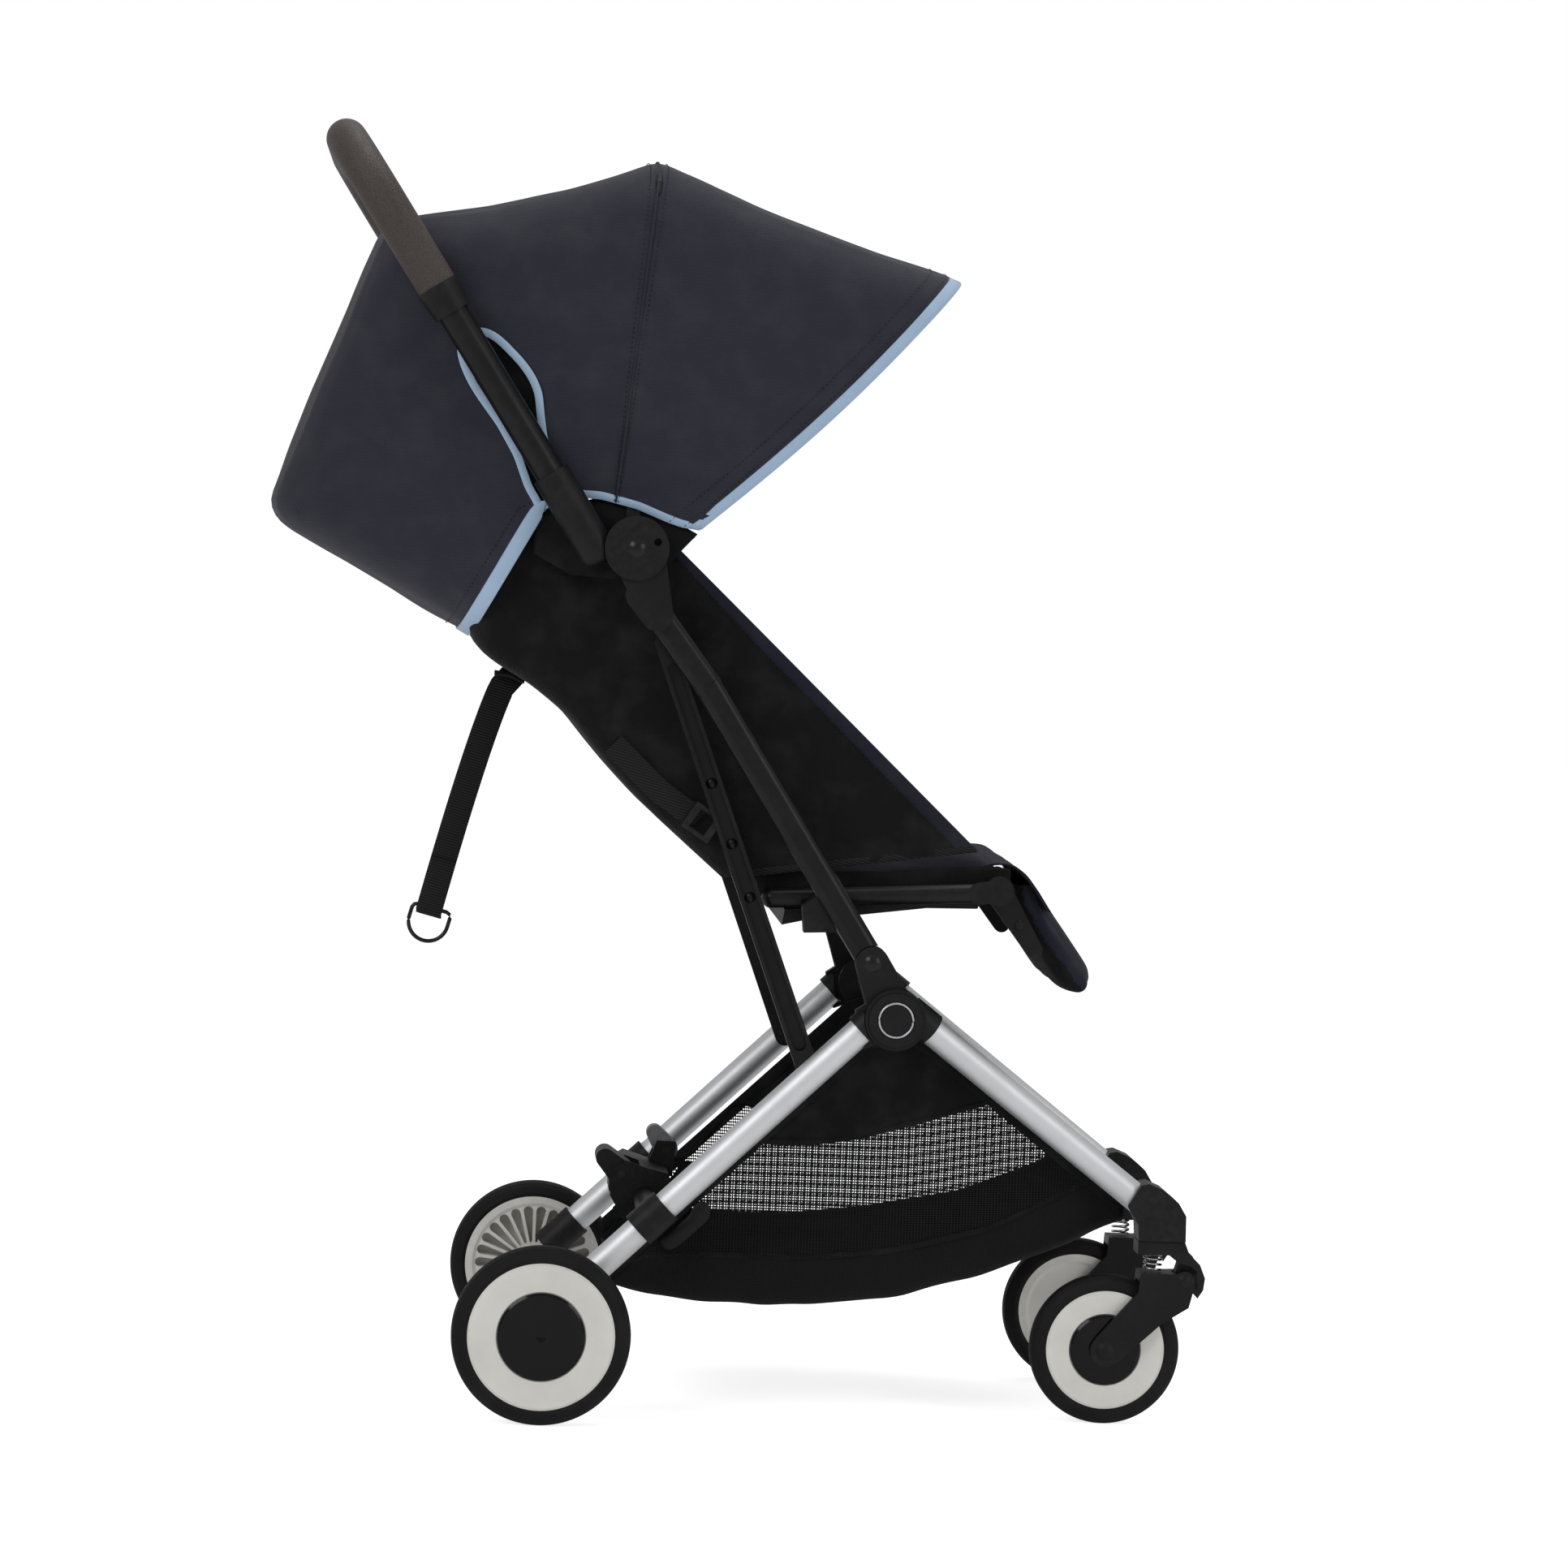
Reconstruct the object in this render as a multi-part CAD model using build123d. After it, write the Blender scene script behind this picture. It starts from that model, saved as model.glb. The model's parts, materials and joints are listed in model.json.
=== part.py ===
from build123d import *
import math
import os

os.makedirs("parts", exist_ok=True)

# ---------------------------------------------------------------------------
# Folding pushchair. Millimetres. X forward, Y left, Z up, ground at Z = 0.
# Points named with two numbers are (x, z) in the side view.
# ---------------------------------------------------------------------------

# driving dimensions
REAR_R = 72.5            # rear tyre radius
FRONT_R = 62.0           # front tyre radius
REAR_AXLE = (-149.0, REAR_R)
FRONT_AXLE = (319.0, FRONT_R)
REAR_Y = 227.0           # wheel planes, half tracks
FRONT_Y = 118.5
FRAME_Y = 190.0          # plane of handle, main tubes and rear legs
FRONT_LEG_Y = (165.0, 122.0)
HUB = (128.5, 335.0)     # rear leg pivot
PIVOT = (108.0, 380.0)   # main tube pivot on the hub bracket
ELBOW = (-96.5, 708.0)   # handle folding joint
STRUT_TOP = (-70.0, 632.0)
STRUT_LOW = (62.0, 286.0)
GRIP_BAR = (-343.0, 1029.5)
HANDLE_DIR = (-0.5518, 0.8340)
GRIP_R = 16.5
HANDLE_R = 12.5
LEG_R = 11.7
SLEEVE_R = 15.5
SWIVEL = (361.5, 153.9)  # caster swivel axis x, seam height
ARM_PIN = (382.0, 122.0)
SEAT_HINGE = (212.0, 440.0)
BACK_HINGE = (4.0, 444.0)
RUN = 0.05               # radial clearance of pins in their bores
GAP = 0.35               # clearance between parts that pass each other


# ---------------------------------------------------------------------------
# helpers
# ---------------------------------------------------------------------------
def rod(p, q, r):
    """Round bar from point p to point q."""
    axis = Vector(*q) - Vector(*p)
    low = (Align.CENTER, Align.CENTER, Align.MIN)
    return Plane(origin=p, z_dir=axis) * Cylinder(r, axis.length, align=low)


def disc(c, r, y0, y1):
    """Round plate about the side-view point c, from y0 to y1."""
    return rod((c[0], y0, c[1]), (c[0], y1, c[1]), r)


def slab(points, y0, y1):
    """Side-view polygon given thickness from y0 to y1."""
    side = Plane(origin=(0, y0, 0), x_dir=(1, 0, 0), z_dir=(0, -1, 0))
    return extrude(side * Polygon(*points, align=None), amount=y1 - y0, dir=(0, 1, 0))


def link(a, ra, b, rb, y0, y1):
    """Flat link with a round eye at each end."""
    d = math.hypot(b[0] - a[0], b[1] - a[1])
    ang = math.atan2(b[1] - a[1], b[0] - a[0])
    off = math.acos((ra - rb) / d)
    pts = []
    for c, r, s in ((a, ra, 1), (b, rb, 1), (b, rb, -1), (a, ra, -1)):
        pts.append((c[0] + r * math.cos(ang + s * off), c[1] + r * math.sin(ang + s * off)))
    return slab(pts, y0, y1) + disc(a, ra, y0, y1) + disc(b, rb, y0, y1)


def dome(c, r, h, y):
    """Rivet head on the face y, bulging towards +Y."""
    big = (r * r + h * h) / (2 * h)
    ball = Pos(c[0], y + h - big, c[1]) * Sphere(big)
    return ball & disc(c, r + 1, y, y + h + 1)


def lathe(profile, c, y):
    """Turn an (r, y) profile about the Y axis through c, at offset y."""
    return Pos(c[0], y, c[1]) * revolve(Polygon(*profile, align=None), Axis.Y)


def both(shape):
    """The shape and its mirror image across the middle plane."""
    return Compound(children=list(shape.solids()) + list(mirror(shape, about=Plane.XZ).solids()))


def group(*shapes):
    """Several shapes kept as separate solids of one part."""
    return Compound(children=[s for shape in shapes for s in shape.solids()])


def flip(shape):
    return mirror(shape, about=Plane.XZ)


def along(p, d, s):
    return (p[0] + d[0] * s, p[1] + d[1] * s)


def ribbon(points, w, y0, y1):
    """Flat strip of width w that follows side-view points."""
    left, right = [], []
    for i, p in enumerate(points):
        a, b = points[max(i - 1, 0)], points[min(i + 1, len(points) - 1)]
        n = math.hypot(b[0] - a[0], b[1] - a[1])
        nx, nz = -(b[1] - a[1]) / n * w / 2, (b[0] - a[0]) / n * w / 2
        left.append((p[0] + nx, p[1] + nz))
        right.append((p[0] - nx, p[1] - nz))
    return slab(left + right[::-1], y0, y1)


def layer(points, t0, t1, y0, y1):
    """Sheet lying on side-view points, from offset t0 to t1 on their left."""
    def shift(t):
        out = []
        for i, p in enumerate(points):
            a, b = points[max(i - 1, 0)], points[min(i + 1, len(points) - 1)]
            n = math.hypot(b[0] - a[0], b[1] - a[1])
            out.append((p[0] - (b[1] - a[1]) / n * t, p[1] + (b[0] - a[0]) / n * t))
        return out
    return slab(shift(t0) + shift(t1)[::-1], y0, y1)


parts = {}

# ---------------------------------------------------------------------------
# handle: U tube, leather grip, collars, folding joint sleeves
# ---------------------------------------------------------------------------
def u_path(s_end, bend):
    """Centre line of the U handle, from one side over the bar to the other."""
    def pt(s, y):
        x, z = along(GRIP_BAR, HANDLE_DIR, -s)
        return (x, y, z)
    k = bend * (1 - math.sqrt(0.5))
    y = FRAME_Y
    edges = [
        Line(pt(s_end, -y), pt(bend, -y)),
        ThreePointArc(pt(bend, -y), pt(k, -y + k), pt(0, -y + bend)),
        Line(pt(0, -y + bend), pt(0, y - bend)),
        ThreePointArc(pt(0, y - bend), pt(k, y - k), pt(bend, y)),
        Line(pt(bend, y), pt(s_end, y)),
    ]
    return Wire(edges)


def u_bar(s_end, bend, r):
    path = u_path(s_end, bend)
    start = path.position_at(0)
    face = Plane(origin=start, z_dir=path.tangent_at(0)) * Circle(r)
    return sweep(face, path=path)


BEND = 62.0
S_GRIP, S_COLLAR, S_SLEEVE, S_END = 141.0, 166.0, 317.0, 388.0


def on_handle(s, y):
    x, z = along(GRIP_BAR, HANDLE_DIR, -s)
    return (x, y, z)


tube_end = S_SLEEVE + 22
parts["handle_tube"] = u_bar(tube_end, BEND, HANDLE_R)
parts["handle_grip"] = u_bar(S_GRIP, BEND, GRIP_R) - u_bar(S_GRIP + 5, BEND, HANDLE_R)

collar_axis = Plane(origin=on_handle(S_COLLAR, FRAME_Y), z_dir=(HANDLE_DIR[0], 0, HANDLE_DIR[1]))
low = (Align.CENTER, Align.CENTER, Align.MIN)
collar = collar_axis * Cone(GRIP_R - 0.6, GRIP_R + 1.2, S_COLLAR - S_GRIP - 0.2, align=low)
collar -= rod(on_handle(S_COLLAR + 5, FRAME_Y), on_handle(S_GRIP - 5, FRAME_Y), HANDLE_R)
parts["handle_collars"] = both(collar)

# the sleeve carries an inner disc; the main tube's outer disc covers it
EY0, EY1, EYM = 175.0, 206.5, 190.0
sleeve = Cylinder(SLEEVE_R, S_END + 12 - S_SLEEVE, align=low)
sleeve = fillet(sleeve.edges().filter_by(GeomType.CIRCLE).sort_by(Axis.Z)[-1], 9.0)
sleeve = Plane(origin=on_handle(S_SLEEVE, FRAME_Y), z_dir=(-HANDLE_DIR[0], 0, -HANDLE_DIR[1])) * sleeve
sleeve += disc(ELBOW, 26.0, EY0, EYM - GAP / 2)
sleeve -= disc(ELBOW, 26.6, EYM - GAP / 2, EY1 + 2)
sleeve -= rod(on_handle(S_SLEEVE - 5, FRAME_Y), on_handle(tube_end, FRAME_Y), HANDLE_R)
sleeve -= disc(ELBOW, 5.0 + RUN, EY0 - 5, EY1)
parts["handle_sleeves"] = both(sleeve)

# ---------------------------------------------------------------------------
# main tubes between the elbow and the hub bracket
# ---------------------------------------------------------------------------
MAIN_BEND = (-34.5, 600.0)
MAIN_TOP = (-84.0, 664.0)
MAIN_W = 22.8


def main_segment(a, b, w, depth):
    p, q = (a[0], FRAME_Y, a[1]), (b[0], FRAME_Y, b[1])
    axis = Vector(*q) - Vector(*p)
    sec = Plane(origin=p, x_dir=(0, 1, 0), z_dir=axis) * RectangleRounded(depth, w, 7.5)
    return extrude(sec, amount=axis.length)


main = main_segment(PIVOT, MAIN_BEND, MAIN_W, 18.0)
main += main_segment(MAIN_BEND, MAIN_TOP, MAIN_W, 18.0)
main += disc(MAIN_BEND, MAIN_W / 2, FRAME_Y - 7, FRAME_Y + 7)
main -= disc(PIVOT, 14.6, FRAME_Y - 12, FRAME_Y + 12)
tongue = disc(PIVOT, 11.4, FRAME_Y - 5.6, FRAME_Y + 5.6)
tongue += link(PIVOT, 9.5, along(PIVOT, (-0.5437, 0.8393), 24.0), 9.5, FRAME_Y - 5.6, FRAME_Y + 5.6)
main += tongue
main -= disc(PIVOT, 4.0 + RUN, FRAME_Y - 15, FRAME_Y + 15)

elbow = disc(ELBOW, 26.0, EYM + GAP / 2, EY1)
elbow += link(ELBOW, 22.0, (-78.0, 655.0), 13.0, EYM + GAP / 2, EY1 - 3)
elbow += link((-90.0, 671.0), 14.0, (-78.0, 655.0), 13.0, FRAME_Y - 10.5, EY1 - 3)
elbow -= disc(ELBOW, 26.6, EY0 - 2, EYM + GAP / 2)
main_socket = main_segment(along(MAIN_BEND, (0, 0), 0), (-84.0, 664.0), MAIN_W, 18.0)
elbow -= main_socket
elbow -= disc(ELBOW, 5.0, EY0 - 5, EY1 + 2)
elbow -= disc((-79.8, 713.6), 3.1, EY1 - 10.0, EY1 + 1)
main -= disc(ELBOW, 26.6, EY0 - 2, EY1)
parts["main_tubes"] = both(main)
parts["elbow_discs"] = both(elbow)
pin = disc(ELBOW, 5.0, EY0 - 3.0, EY1) + dome(ELBOW, 7.0, 2.4, EY1)
pin += disc(ELBOW, 8.0, EY0 - 3.0, EY0 - GAP)
pin += disc(ELBOW, 4.0, 157.0, EY0) + disc(ELBOW, 6.5, 157.0, 158.6)
parts["elbow_pins"] = both(pin)

# ---------------------------------------------------------------------------
# hub bracket, caps and front legs: the fixed body
# ---------------------------------------------------------------------------
FL_TOP, FL_LOW = (160.0, 325.0), (340.0, 188.0)
leg_vec = Vector(FL_LOW[0] - FL_TOP[0], FRONT_LEG_Y[1] - FRONT_LEG_Y[0], FL_LOW[1] - FL_TOP[1])
leg_len = leg_vec.length
leg_dir = leg_vec / leg_len


def on_front_leg(s):
    p = Vector(FL_TOP[0], FRONT_LEG_Y[0], FL_TOP[1]) + leg_dir * s
    return (p.X, p.Y, p.Z)


front_leg = rod(on_front_leg(-14), on_front_leg(leg_len + 8), LEG_R)
front_leg -= rod(on_front_leg(-15), on_front_leg(leg_len + 9), LEG_R - 1.6)
hub = disc(HUB, 22.0, 163.0, 178.0) + disc(HUB, 25.0, 178.0, 183.7)
hub += disc(HUB, 25.0, 196.3, 201.0)
for lo, hi in ((180.2, 183.7), (196.3, 199.8)):
    hub += link(PIVOT, 13.6, HUB, 20.0, lo, hi)
hub += slab([(120, 352), (141, 343), (129.5, 366), (120.5, 372)], 183.0, 197.0)
hub += rod(on_front_leg(-24), on_front_leg(0), 14.4)
hub += slab([(126, 314), (150, 318), (160, 332), (140, 352), (128, 356)], 158.0, 178.0)
hub -= disc(HUB, 22.0, 183.7, 196.3)
hub -= rod(on_front_leg(-14), on_front_leg(20), LEG_R)
hub -= disc(HUB, 6.0, 150.0, 205.0)
hub -= disc(PIVOT, 4.0, 150.0, 205.0)
parts["hub_brackets"] = both(hub)
cap = disc(HUB, 25.0, 201.0, 205.0) + disc(HUB, 22.0, 205.0, 207.0)
cap -= disc(HUB, 15.4, 206.2, 210.0) - disc(HUB, 12.2, 205.0, 211.0)
parts["hub_caps"] = both(cap)
axle_pin = disc(HUB, 6.0, 163.0, 201.0)
rivet = disc(PIVOT, 4.0, 178.5, 199.8) + dome(PIVOT, 7.2, 2.6, 199.8) + disc(PIVOT, 7.0, 177.5, 180.2)
parts["hub_pins"] = both(group(axle_pin, rivet))
parts["front_legs"] = both(front_leg)

housing = slab([(332.0, 182.5), (342.5, 200.5), (349.0, 201.8), (361.0, 197.0), (374.0, 186.5),
                (380.5, 176.0), (381.0, 154.3), (342.0, 154.3), (341.0, 168.0)],
               FRONT_Y - 17.0, FRONT_Y + 19.0)
housing = fillet(housing.edges().filter_by(Axis.Y).sort_by(Axis.Z)[4:], 3.0)
housing -= rod(on_front_leg(leg_len - 30), on_front_leg(leg_len + 8), LEG_R)
cross = rod((350.0, 0, 180.0), (350.0, FRONT_Y - 17.0, 180.0), 8.0)
cross += rod((350.0, -FRONT_Y + 17.0, 180.0), (350.0, 0, 180.0), 8.0)
housing -= rod((SWIVEL[0], FRONT_Y, 150.0), (SWIVEL[0], FRONT_Y, 176.4), 5.0 + RUN)
parts["caster_housings"] = both(housing)
parts["front_crossbar"] = cross

# ---------------------------------------------------------------------------
# casters: swivel body, spring, arm, wheel
# ---------------------------------------------------------------------------
Y = FRONT_Y
swivel = slab([(342, 153.6), (381, 153.6), (384.5, 145), (394, 136), (398.6, 125), (397.5, 115),
               (393, 108), (391.5, 131), (386, 134.5), (376, 137), (368, 143), (342, 143)],
              Y - 17.0, Y + 17.0)
swivel += link((384, 138), 6.0, ARM_PIN, 8.6, Y - 7.5, Y + 7.5)
swivel += rod((SWIVEL[0], Y, 150.0), (SWIVEL[0], Y, 176.0), 5.0)
swivel -= disc(ARM_PIN, 4.0 + RUN, Y - 30, Y + 30)

AX = FRONT_AXLE
arm = slab([(310, 72), (344, 112), (345, 127.5), (370, 127.5), (378, 128), (390, 117), (386, 100),
            (364, 86), (330, 54)], Y - 18.0, Y + 18.0)
arm += disc(AX, 13.0, Y - 18.0, Y + 18.0) + disc(ARM_PIN, 8.0, Y - 18.0, Y + 18.0)
arm -= disc(AX, 63.6, Y - 13.4, Y + 13.4)
arm -= disc(ARM_PIN, 9.3, Y - 8.0, Y + 8.0)
arm -= slab([(373, 131), (396, 131), (396, 112), (385, 112), (373, 121)], Y - 8.0, Y + 8.0)
arm -= disc(AX, 4.0, Y - 30, Y + 30) + disc(ARM_PIN, 4.0, Y - 30, Y + 30)

turns, wire, coil_r = 3, 1.0, 7.0
coil_path = Helix(pitch=12.4 / turns, height=12.4, radius=coil_r)
coil = sweep(Plane(origin=coil_path.position_at(0), z_dir=coil_path.tangent_at(0)) * Circle(wire),
             path=coil_path, is_frenet=True)
spring = Pos(356.5, Y, 129.0) * coil

arm_pin = disc(ARM_PIN, 4.0, Y - 18.0, Y + 18.0) + dome(ARM_PIN, 5.6, 2.0, Y + 18.0)
arm_pin += Pos(0, 2 * Y, 0) * flip(dome(ARM_PIN, 5.6, 2.0, Y + 18.0))
wheel_pin = disc(AX, 4.0, Y - 18.0, Y + 18.0) + dome(AX, 8.0, 3.2, Y + 18.0)
wheel_pin += Pos(0, 2 * Y, 0) * flip(dome(AX, 8.0, 3.2, Y + 18.0))


def tyre(axle, y, r_out, r_in, w):
    c = 0.36 * w
    h = w / 2
    prof = [(r_in, -h + 1.5), (r_in + 2.5, -h), (r_out - c, -h), (r_out - 0.45 * c, -h + 0.18 * c),
            (r_out - 0.12 * c, -h + 0.5 * c), (r_out, -h + c), (r_out, h - c),
            (r_out - 0.12 * c, h - 0.5 * c), (r_out - 0.45 * c, h - 0.18 * c), (r_out - c, h),
            (r_in + 2.5, h), (r_in, h - 1.5)]
    return lathe(prof, axle, y)


def face_disc(axle, y, r, w, bore, cap_r, pockets):
    """Wheel disc: dished outer face, ribbed inner face. Outer side is +Y."""
    h = w / 2
    prof = [(bore, -h + 1), (15, -h + 1), (17, -h + 4), (r - 9, -h + 4), (r - 6, -h + 1.5), (r, -h + 1.5),
            (r, h - 1.5), (r - 2, h - 0.6), (cap_r + 1, h - 2.2), (cap_r + 0.1, h - 3.6), (bore, h - 3.6)]
    body = lathe(prof, axle, y)
    if pockets:
        wide = math.pi * (r - 14) / pockets - 1.3
        one = slab([(axle[0] + 19, axle[1] - 1.0), (axle[0] + r - 13, axle[1] - wide),
                    (axle[0] + r - 13, axle[1] + wide), (axle[0] + 19, axle[1] + 1.0)],
                   y - h, y + h - 7)
        one += disc((axle[0] + r - 13, axle[1]), wide, y - h, y + h - 7)
        cuts = [one.rotate(Axis((axle[0], y, axle[1]), (0, 1, 0)), 360 / pockets * i)
                for i in range(pockets)]
        body -= cuts
    return body


front_tyre = tyre(AX, Y, FRONT_R, 48.9, 24.0)
front_disc = face_disc(AX, Y, 48.9, 24.0, 4.0 + RUN, 29.0, 0)
front_cap = lathe([(4.5, 8.4), (29.0, 8.4), (29.0, 10.2), (27.0, 11.4), (4.5, 11.8)], AX, Y)
rear_tyre = tyre(REAR_AXLE, REAR_Y, REAR_R, 59.5, 27.0)
rear_disc = face_disc(REAR_AXLE, REAR_Y, 59.5, 27.0, 5.0 + RUN, 35.6, 26)
rear_cap = lathe([(0, 10.1), (35.5, 10.1), (35.5, 11.2), (33.6, 12.4), (0, 13.0)], REAR_AXLE, REAR_Y)
rear_disc -= disc(REAR_AXLE, 9.0, REAR_Y + 7.0, REAR_Y + 9.9)

for side, place in (("left", lambda s: s), ("right", flip)):
    parts[f"caster_swivel_{side}"] = place(swivel)
    parts[f"caster_spring_{side}"] = place(spring)
    parts[f"caster_arm_{side}"] = place(group(arm, arm_pin, wheel_pin))
    parts[f"front_tyre_{side}"] = place(front_tyre)
    parts[f"front_disc_{side}"] = place(front_disc)
    parts[f"front_cap_{side}"] = place(front_cap)
    parts[f"rear_tyre_{side}"] = place(rear_tyre)
    parts[f"rear_disc_{side}"] = place(rear_disc)
    parts[f"rear_cap_{side}"] = place(rear_cap)

# ---------------------------------------------------------------------------
# rear legs, crossbar, brake block and pedals
# ---------------------------------------------------------------------------
RL_TOP = (101.0, 324.0)
RL_DIR = (-0.7176, -0.6965)
RL_LEN = 332.0


def on_rear_leg(s, y=FRAME_Y):
    x, z = along(RL_TOP, RL_DIR, s)
    return (x, y, z)


rear_leg = rod(on_rear_leg(-1.5), on_rear_leg(RL_LEN), LEG_R)
rear_leg -= rod(on_rear_leg(-3), on_rear_leg(RL_LEN + 1), LEG_R - 1.6)
socket = disc(HUB, 20.0, 184.2, 195.8)
socket += rod(on_rear_leg(-12), on_rear_leg(0), 14.0)
socket += slab([(96, 341), (112, 352), (126, 332), (120, 316), (104, 310)], 184.2, 195.8)
socket -= disc(HUB, 25.6, 170.0, 184.2 - 0.001) + disc(HUB, 25.6, 195.8 + 0.001, 210.0)
socket -= disc(PIVOT, 15.0, 170.0, 210.0)
socket -= rod(on_rear_leg(-1.5), on_rear_leg(20), LEG_R)
socket -= disc(HUB, 6.0 + RUN, 150.0, 210.0)
foot = rod(on_rear_leg(RL_LEN - 34), on_rear_leg(RL_LEN + 2), 14.2)
foot += disc(REAR_AXLE, 12.5, 178.0, 205.0) + disc(REAR_AXLE, 9.0, 205.0, 213.0)
foot -= rod(on_rear_leg(RL_LEN - 40), on_rear_leg(RL_LEN), LEG_R)
foot -= disc(REAR_AXLE, 5.0, 170.0, 230.0)
axle = disc(REAR_AXLE, 5.0, 178.0, REAR_Y + 9.5) + disc(REAR_AXLE, 8.0, REAR_Y + 7.2, REAR_Y + 9.5)
rear_disc_hole = REAR_Y + 7.2
strut_pin = disc(STRUT_LOW, 4.0, 164.0, FRAME_Y) + disc(STRUT_LOW, 7.0, 164.0, 167.6)
strut_pin += disc(STRUT_LOW, 7.5, 178.0, 184.0)
rear_leg -= strut_pin
BAR = (-63.0, 165.0)
bar = disc(BAR, 9.5, -FRAME_Y + 14.8, FRAME_Y - 14.8)
clamp = rod(on_rear_leg(212), on_rear_leg(242), 15.0)
clamp += disc(BAR, 13.0, FRAME_Y - 26, FRAME_Y)
clamp -= rod(on_rear_leg(205), on_rear_leg(250), LEG_R)
clamp -= disc(BAR, 9.5, 100.0, FRAME_Y - 14.8)
block = slab([(-92, 166), (-92, 188), (-80, 196), (-62, 190), (-44, 186), (-38, 166), (-52, 146),
              (-78, 142)], -46.0, 46.0)
block -= disc(BAR, 9.5, -60.0, 60.0)
PEDAL_A, PEDAL_B = (-83.0, 184.0), (-44.0, 199.0)
block += slab([(-60, 186), (-52, 206), (-36, 206), (-38, 176)], 20.0, 24.0)
block += slab([(-60, 186), (-52, 206), (-36, 206), (-38, 176)], 40.0, 44.0)
for c, lo, hi in ((PEDAL_A, -44.0, -4.0), (PEDAL_B, 24.0, 40.0)):
    block -= disc(c, 14.6, lo - GAP, hi + GAP)
block -= slab([(-120, 176), (-120, 220), (-68, 220), (-68, 178), (-80, 168), (-92, 160)],
              -44.0 - GAP, -4.0 + GAP)
block -= slab([(-60, 190), (-60, 215), (-28, 215), (-28, 190)], 24.0 - GAP, 40.0 + GAP)
pedal_a = link(PEDAL_A, 11.0, (-97.0, 197.0), 8.0, -44.0, -4.0)
pedal_a -= disc(PEDAL_A, 3.0 + RUN, -50.0, 0.0)
pedal_b = link(PEDAL_B, 10.0, (-54.0, 212.0), 7.0, 24.0, 40.0)
pedal_b -= disc(PEDAL_B, 3.0 + RUN, 20.0, 50.0)
brake_pins = group(disc(PEDAL_A, 3.0, -46.0, -2.0), disc(PEDAL_B, 3.0, 20.0, 44.0))
block -= disc(PEDAL_A, 3.0, -46.0, -2.0) + disc(PEDAL_B, 3.0, 20.0, 44.0)
parts["rear_legs"] = both(rear_leg)
parts["rear_fittings"] = both(group(socket, clamp, foot))
parts["rear_pins"] = group(both(axle), both(strut_pin), brake_pins)
parts["rear_crossbar"] = bar
parts["brake_block"] = block
parts["brake_pedal"] = pedal_a
parts["release_pedal"] = pedal_b

# folding struts: flat channels inside the frame tubes
strut = link(STRUT_LOW, 9.0, STRUT_TOP, 8.0, 168.5, 177.4)
web = link(along(STRUT_LOW, (-0.3565, 0.9343), 26), 5.6, along(STRUT_TOP, (0.3565, -0.9343), 22),
           4.8, 170.6, 178.0)
strut -= web
strut -= disc(STRUT_LOW, 4.0 + RUN, 160.0, 190.0)
for d in (152.0, 198.0, 250.0):
    c = along(STRUT_LOW, (-0.3565, 0.9343), d)
    strut += dome(c, 4.6, 2.4, 170.6)
parts["struts"] = both(strut)

# ---------------------------------------------------------------------------
# seat
# ---------------------------------------------------------------------------
RAIL_A, RAIL_B, RAIL_Y, RAIL_R = (26.0, 427.0), (206.0, 438.0), 156.0, 8.0
rails = rod((RAIL_A[0], 0, RAIL_A[1]), (RAIL_A[0], RAIL_Y, RAIL_A[1]), RAIL_R)
rails += rod((RAIL_A[0], RAIL_Y, RAIL_A[1]), (RAIL_B[0], RAIL_Y, RAIL_B[1]), RAIL_R)
rails += Pos(RAIL_A[0], RAIL_Y, RAIL_A[1]) * Sphere(RAIL_R)
rails += flip(rails)
hinge_bar = disc(SEAT_HINGE, 7.0, -164.0, 164.0)
ears = disc(SEAT_HINGE, 12.0, 150.0, 164.0) + link(SEAT_HINGE, 9.0, (196.0, 437.4), 9.0, 150.0, 164.0)
ears -= rod((RAIL_A[0], RAIL_Y, RAIL_A[1]), (RAIL_B[0], RAIL_Y, RAIL_B[1]), RAIL_R)
ears -= disc(SEAT_HINGE, 7.0, -170.0, 170.0)
mount = slab([(52, 402), (50, 424), (66, 436), (84, 428), (92, 404)], 164.5, FRAME_Y - 4.0)
mount -= main
mount -= disc(PIVOT, 16.0, 150.0, 210.0)
parts["seat_frame"] = group(rails, hinge_bar, both(ears))
parts["seat_brackets"] = both(mount)
pan = slab([(36, 405), (55, 409.5), (100, 415.5), (154, 423), (196, 424), (198, 429), (100, 424),
            (38, 417.5)], -146.0, 146.0)
parts["seat_pan"] = pan
cushion = slab([(6, 437), (6, 452), (58, 451), (114, 457), (156, 466), (192, 473), (210, 472),
                (224, 464), (230, 452), (224, 449), (198, 448), (100, 436), (40, 436)], -140.5, 140.5)
parts["seat_cushion"] = cushion

calf = slab([(226, 466), (239, 452), (261, 421), (289, 382), (301, 366), (297, 357), (289, 354.5),
             (275, 358), (262, 371), (241, 400), (226, 420), (221, 431), (221.5, 447), (233, 452)],
            -140.0, 140.0)
parts["leg_rest_pad"] = calf
bar_low = (244.0, 392.0)
legbars = link(SEAT_HINGE, 11.0, bar_low, 7.0, 141.0, 147.6)
legbars -= disc(SEAT_HINGE, 7.0 + RUN, 130.0, 160.0)
legbars += dome(along(SEAT_HINGE, (0.555, -0.832), 34.0), 4.4, 2.0, 147.6)
parts["leg_rest_bars"] = both(legbars)

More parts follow.
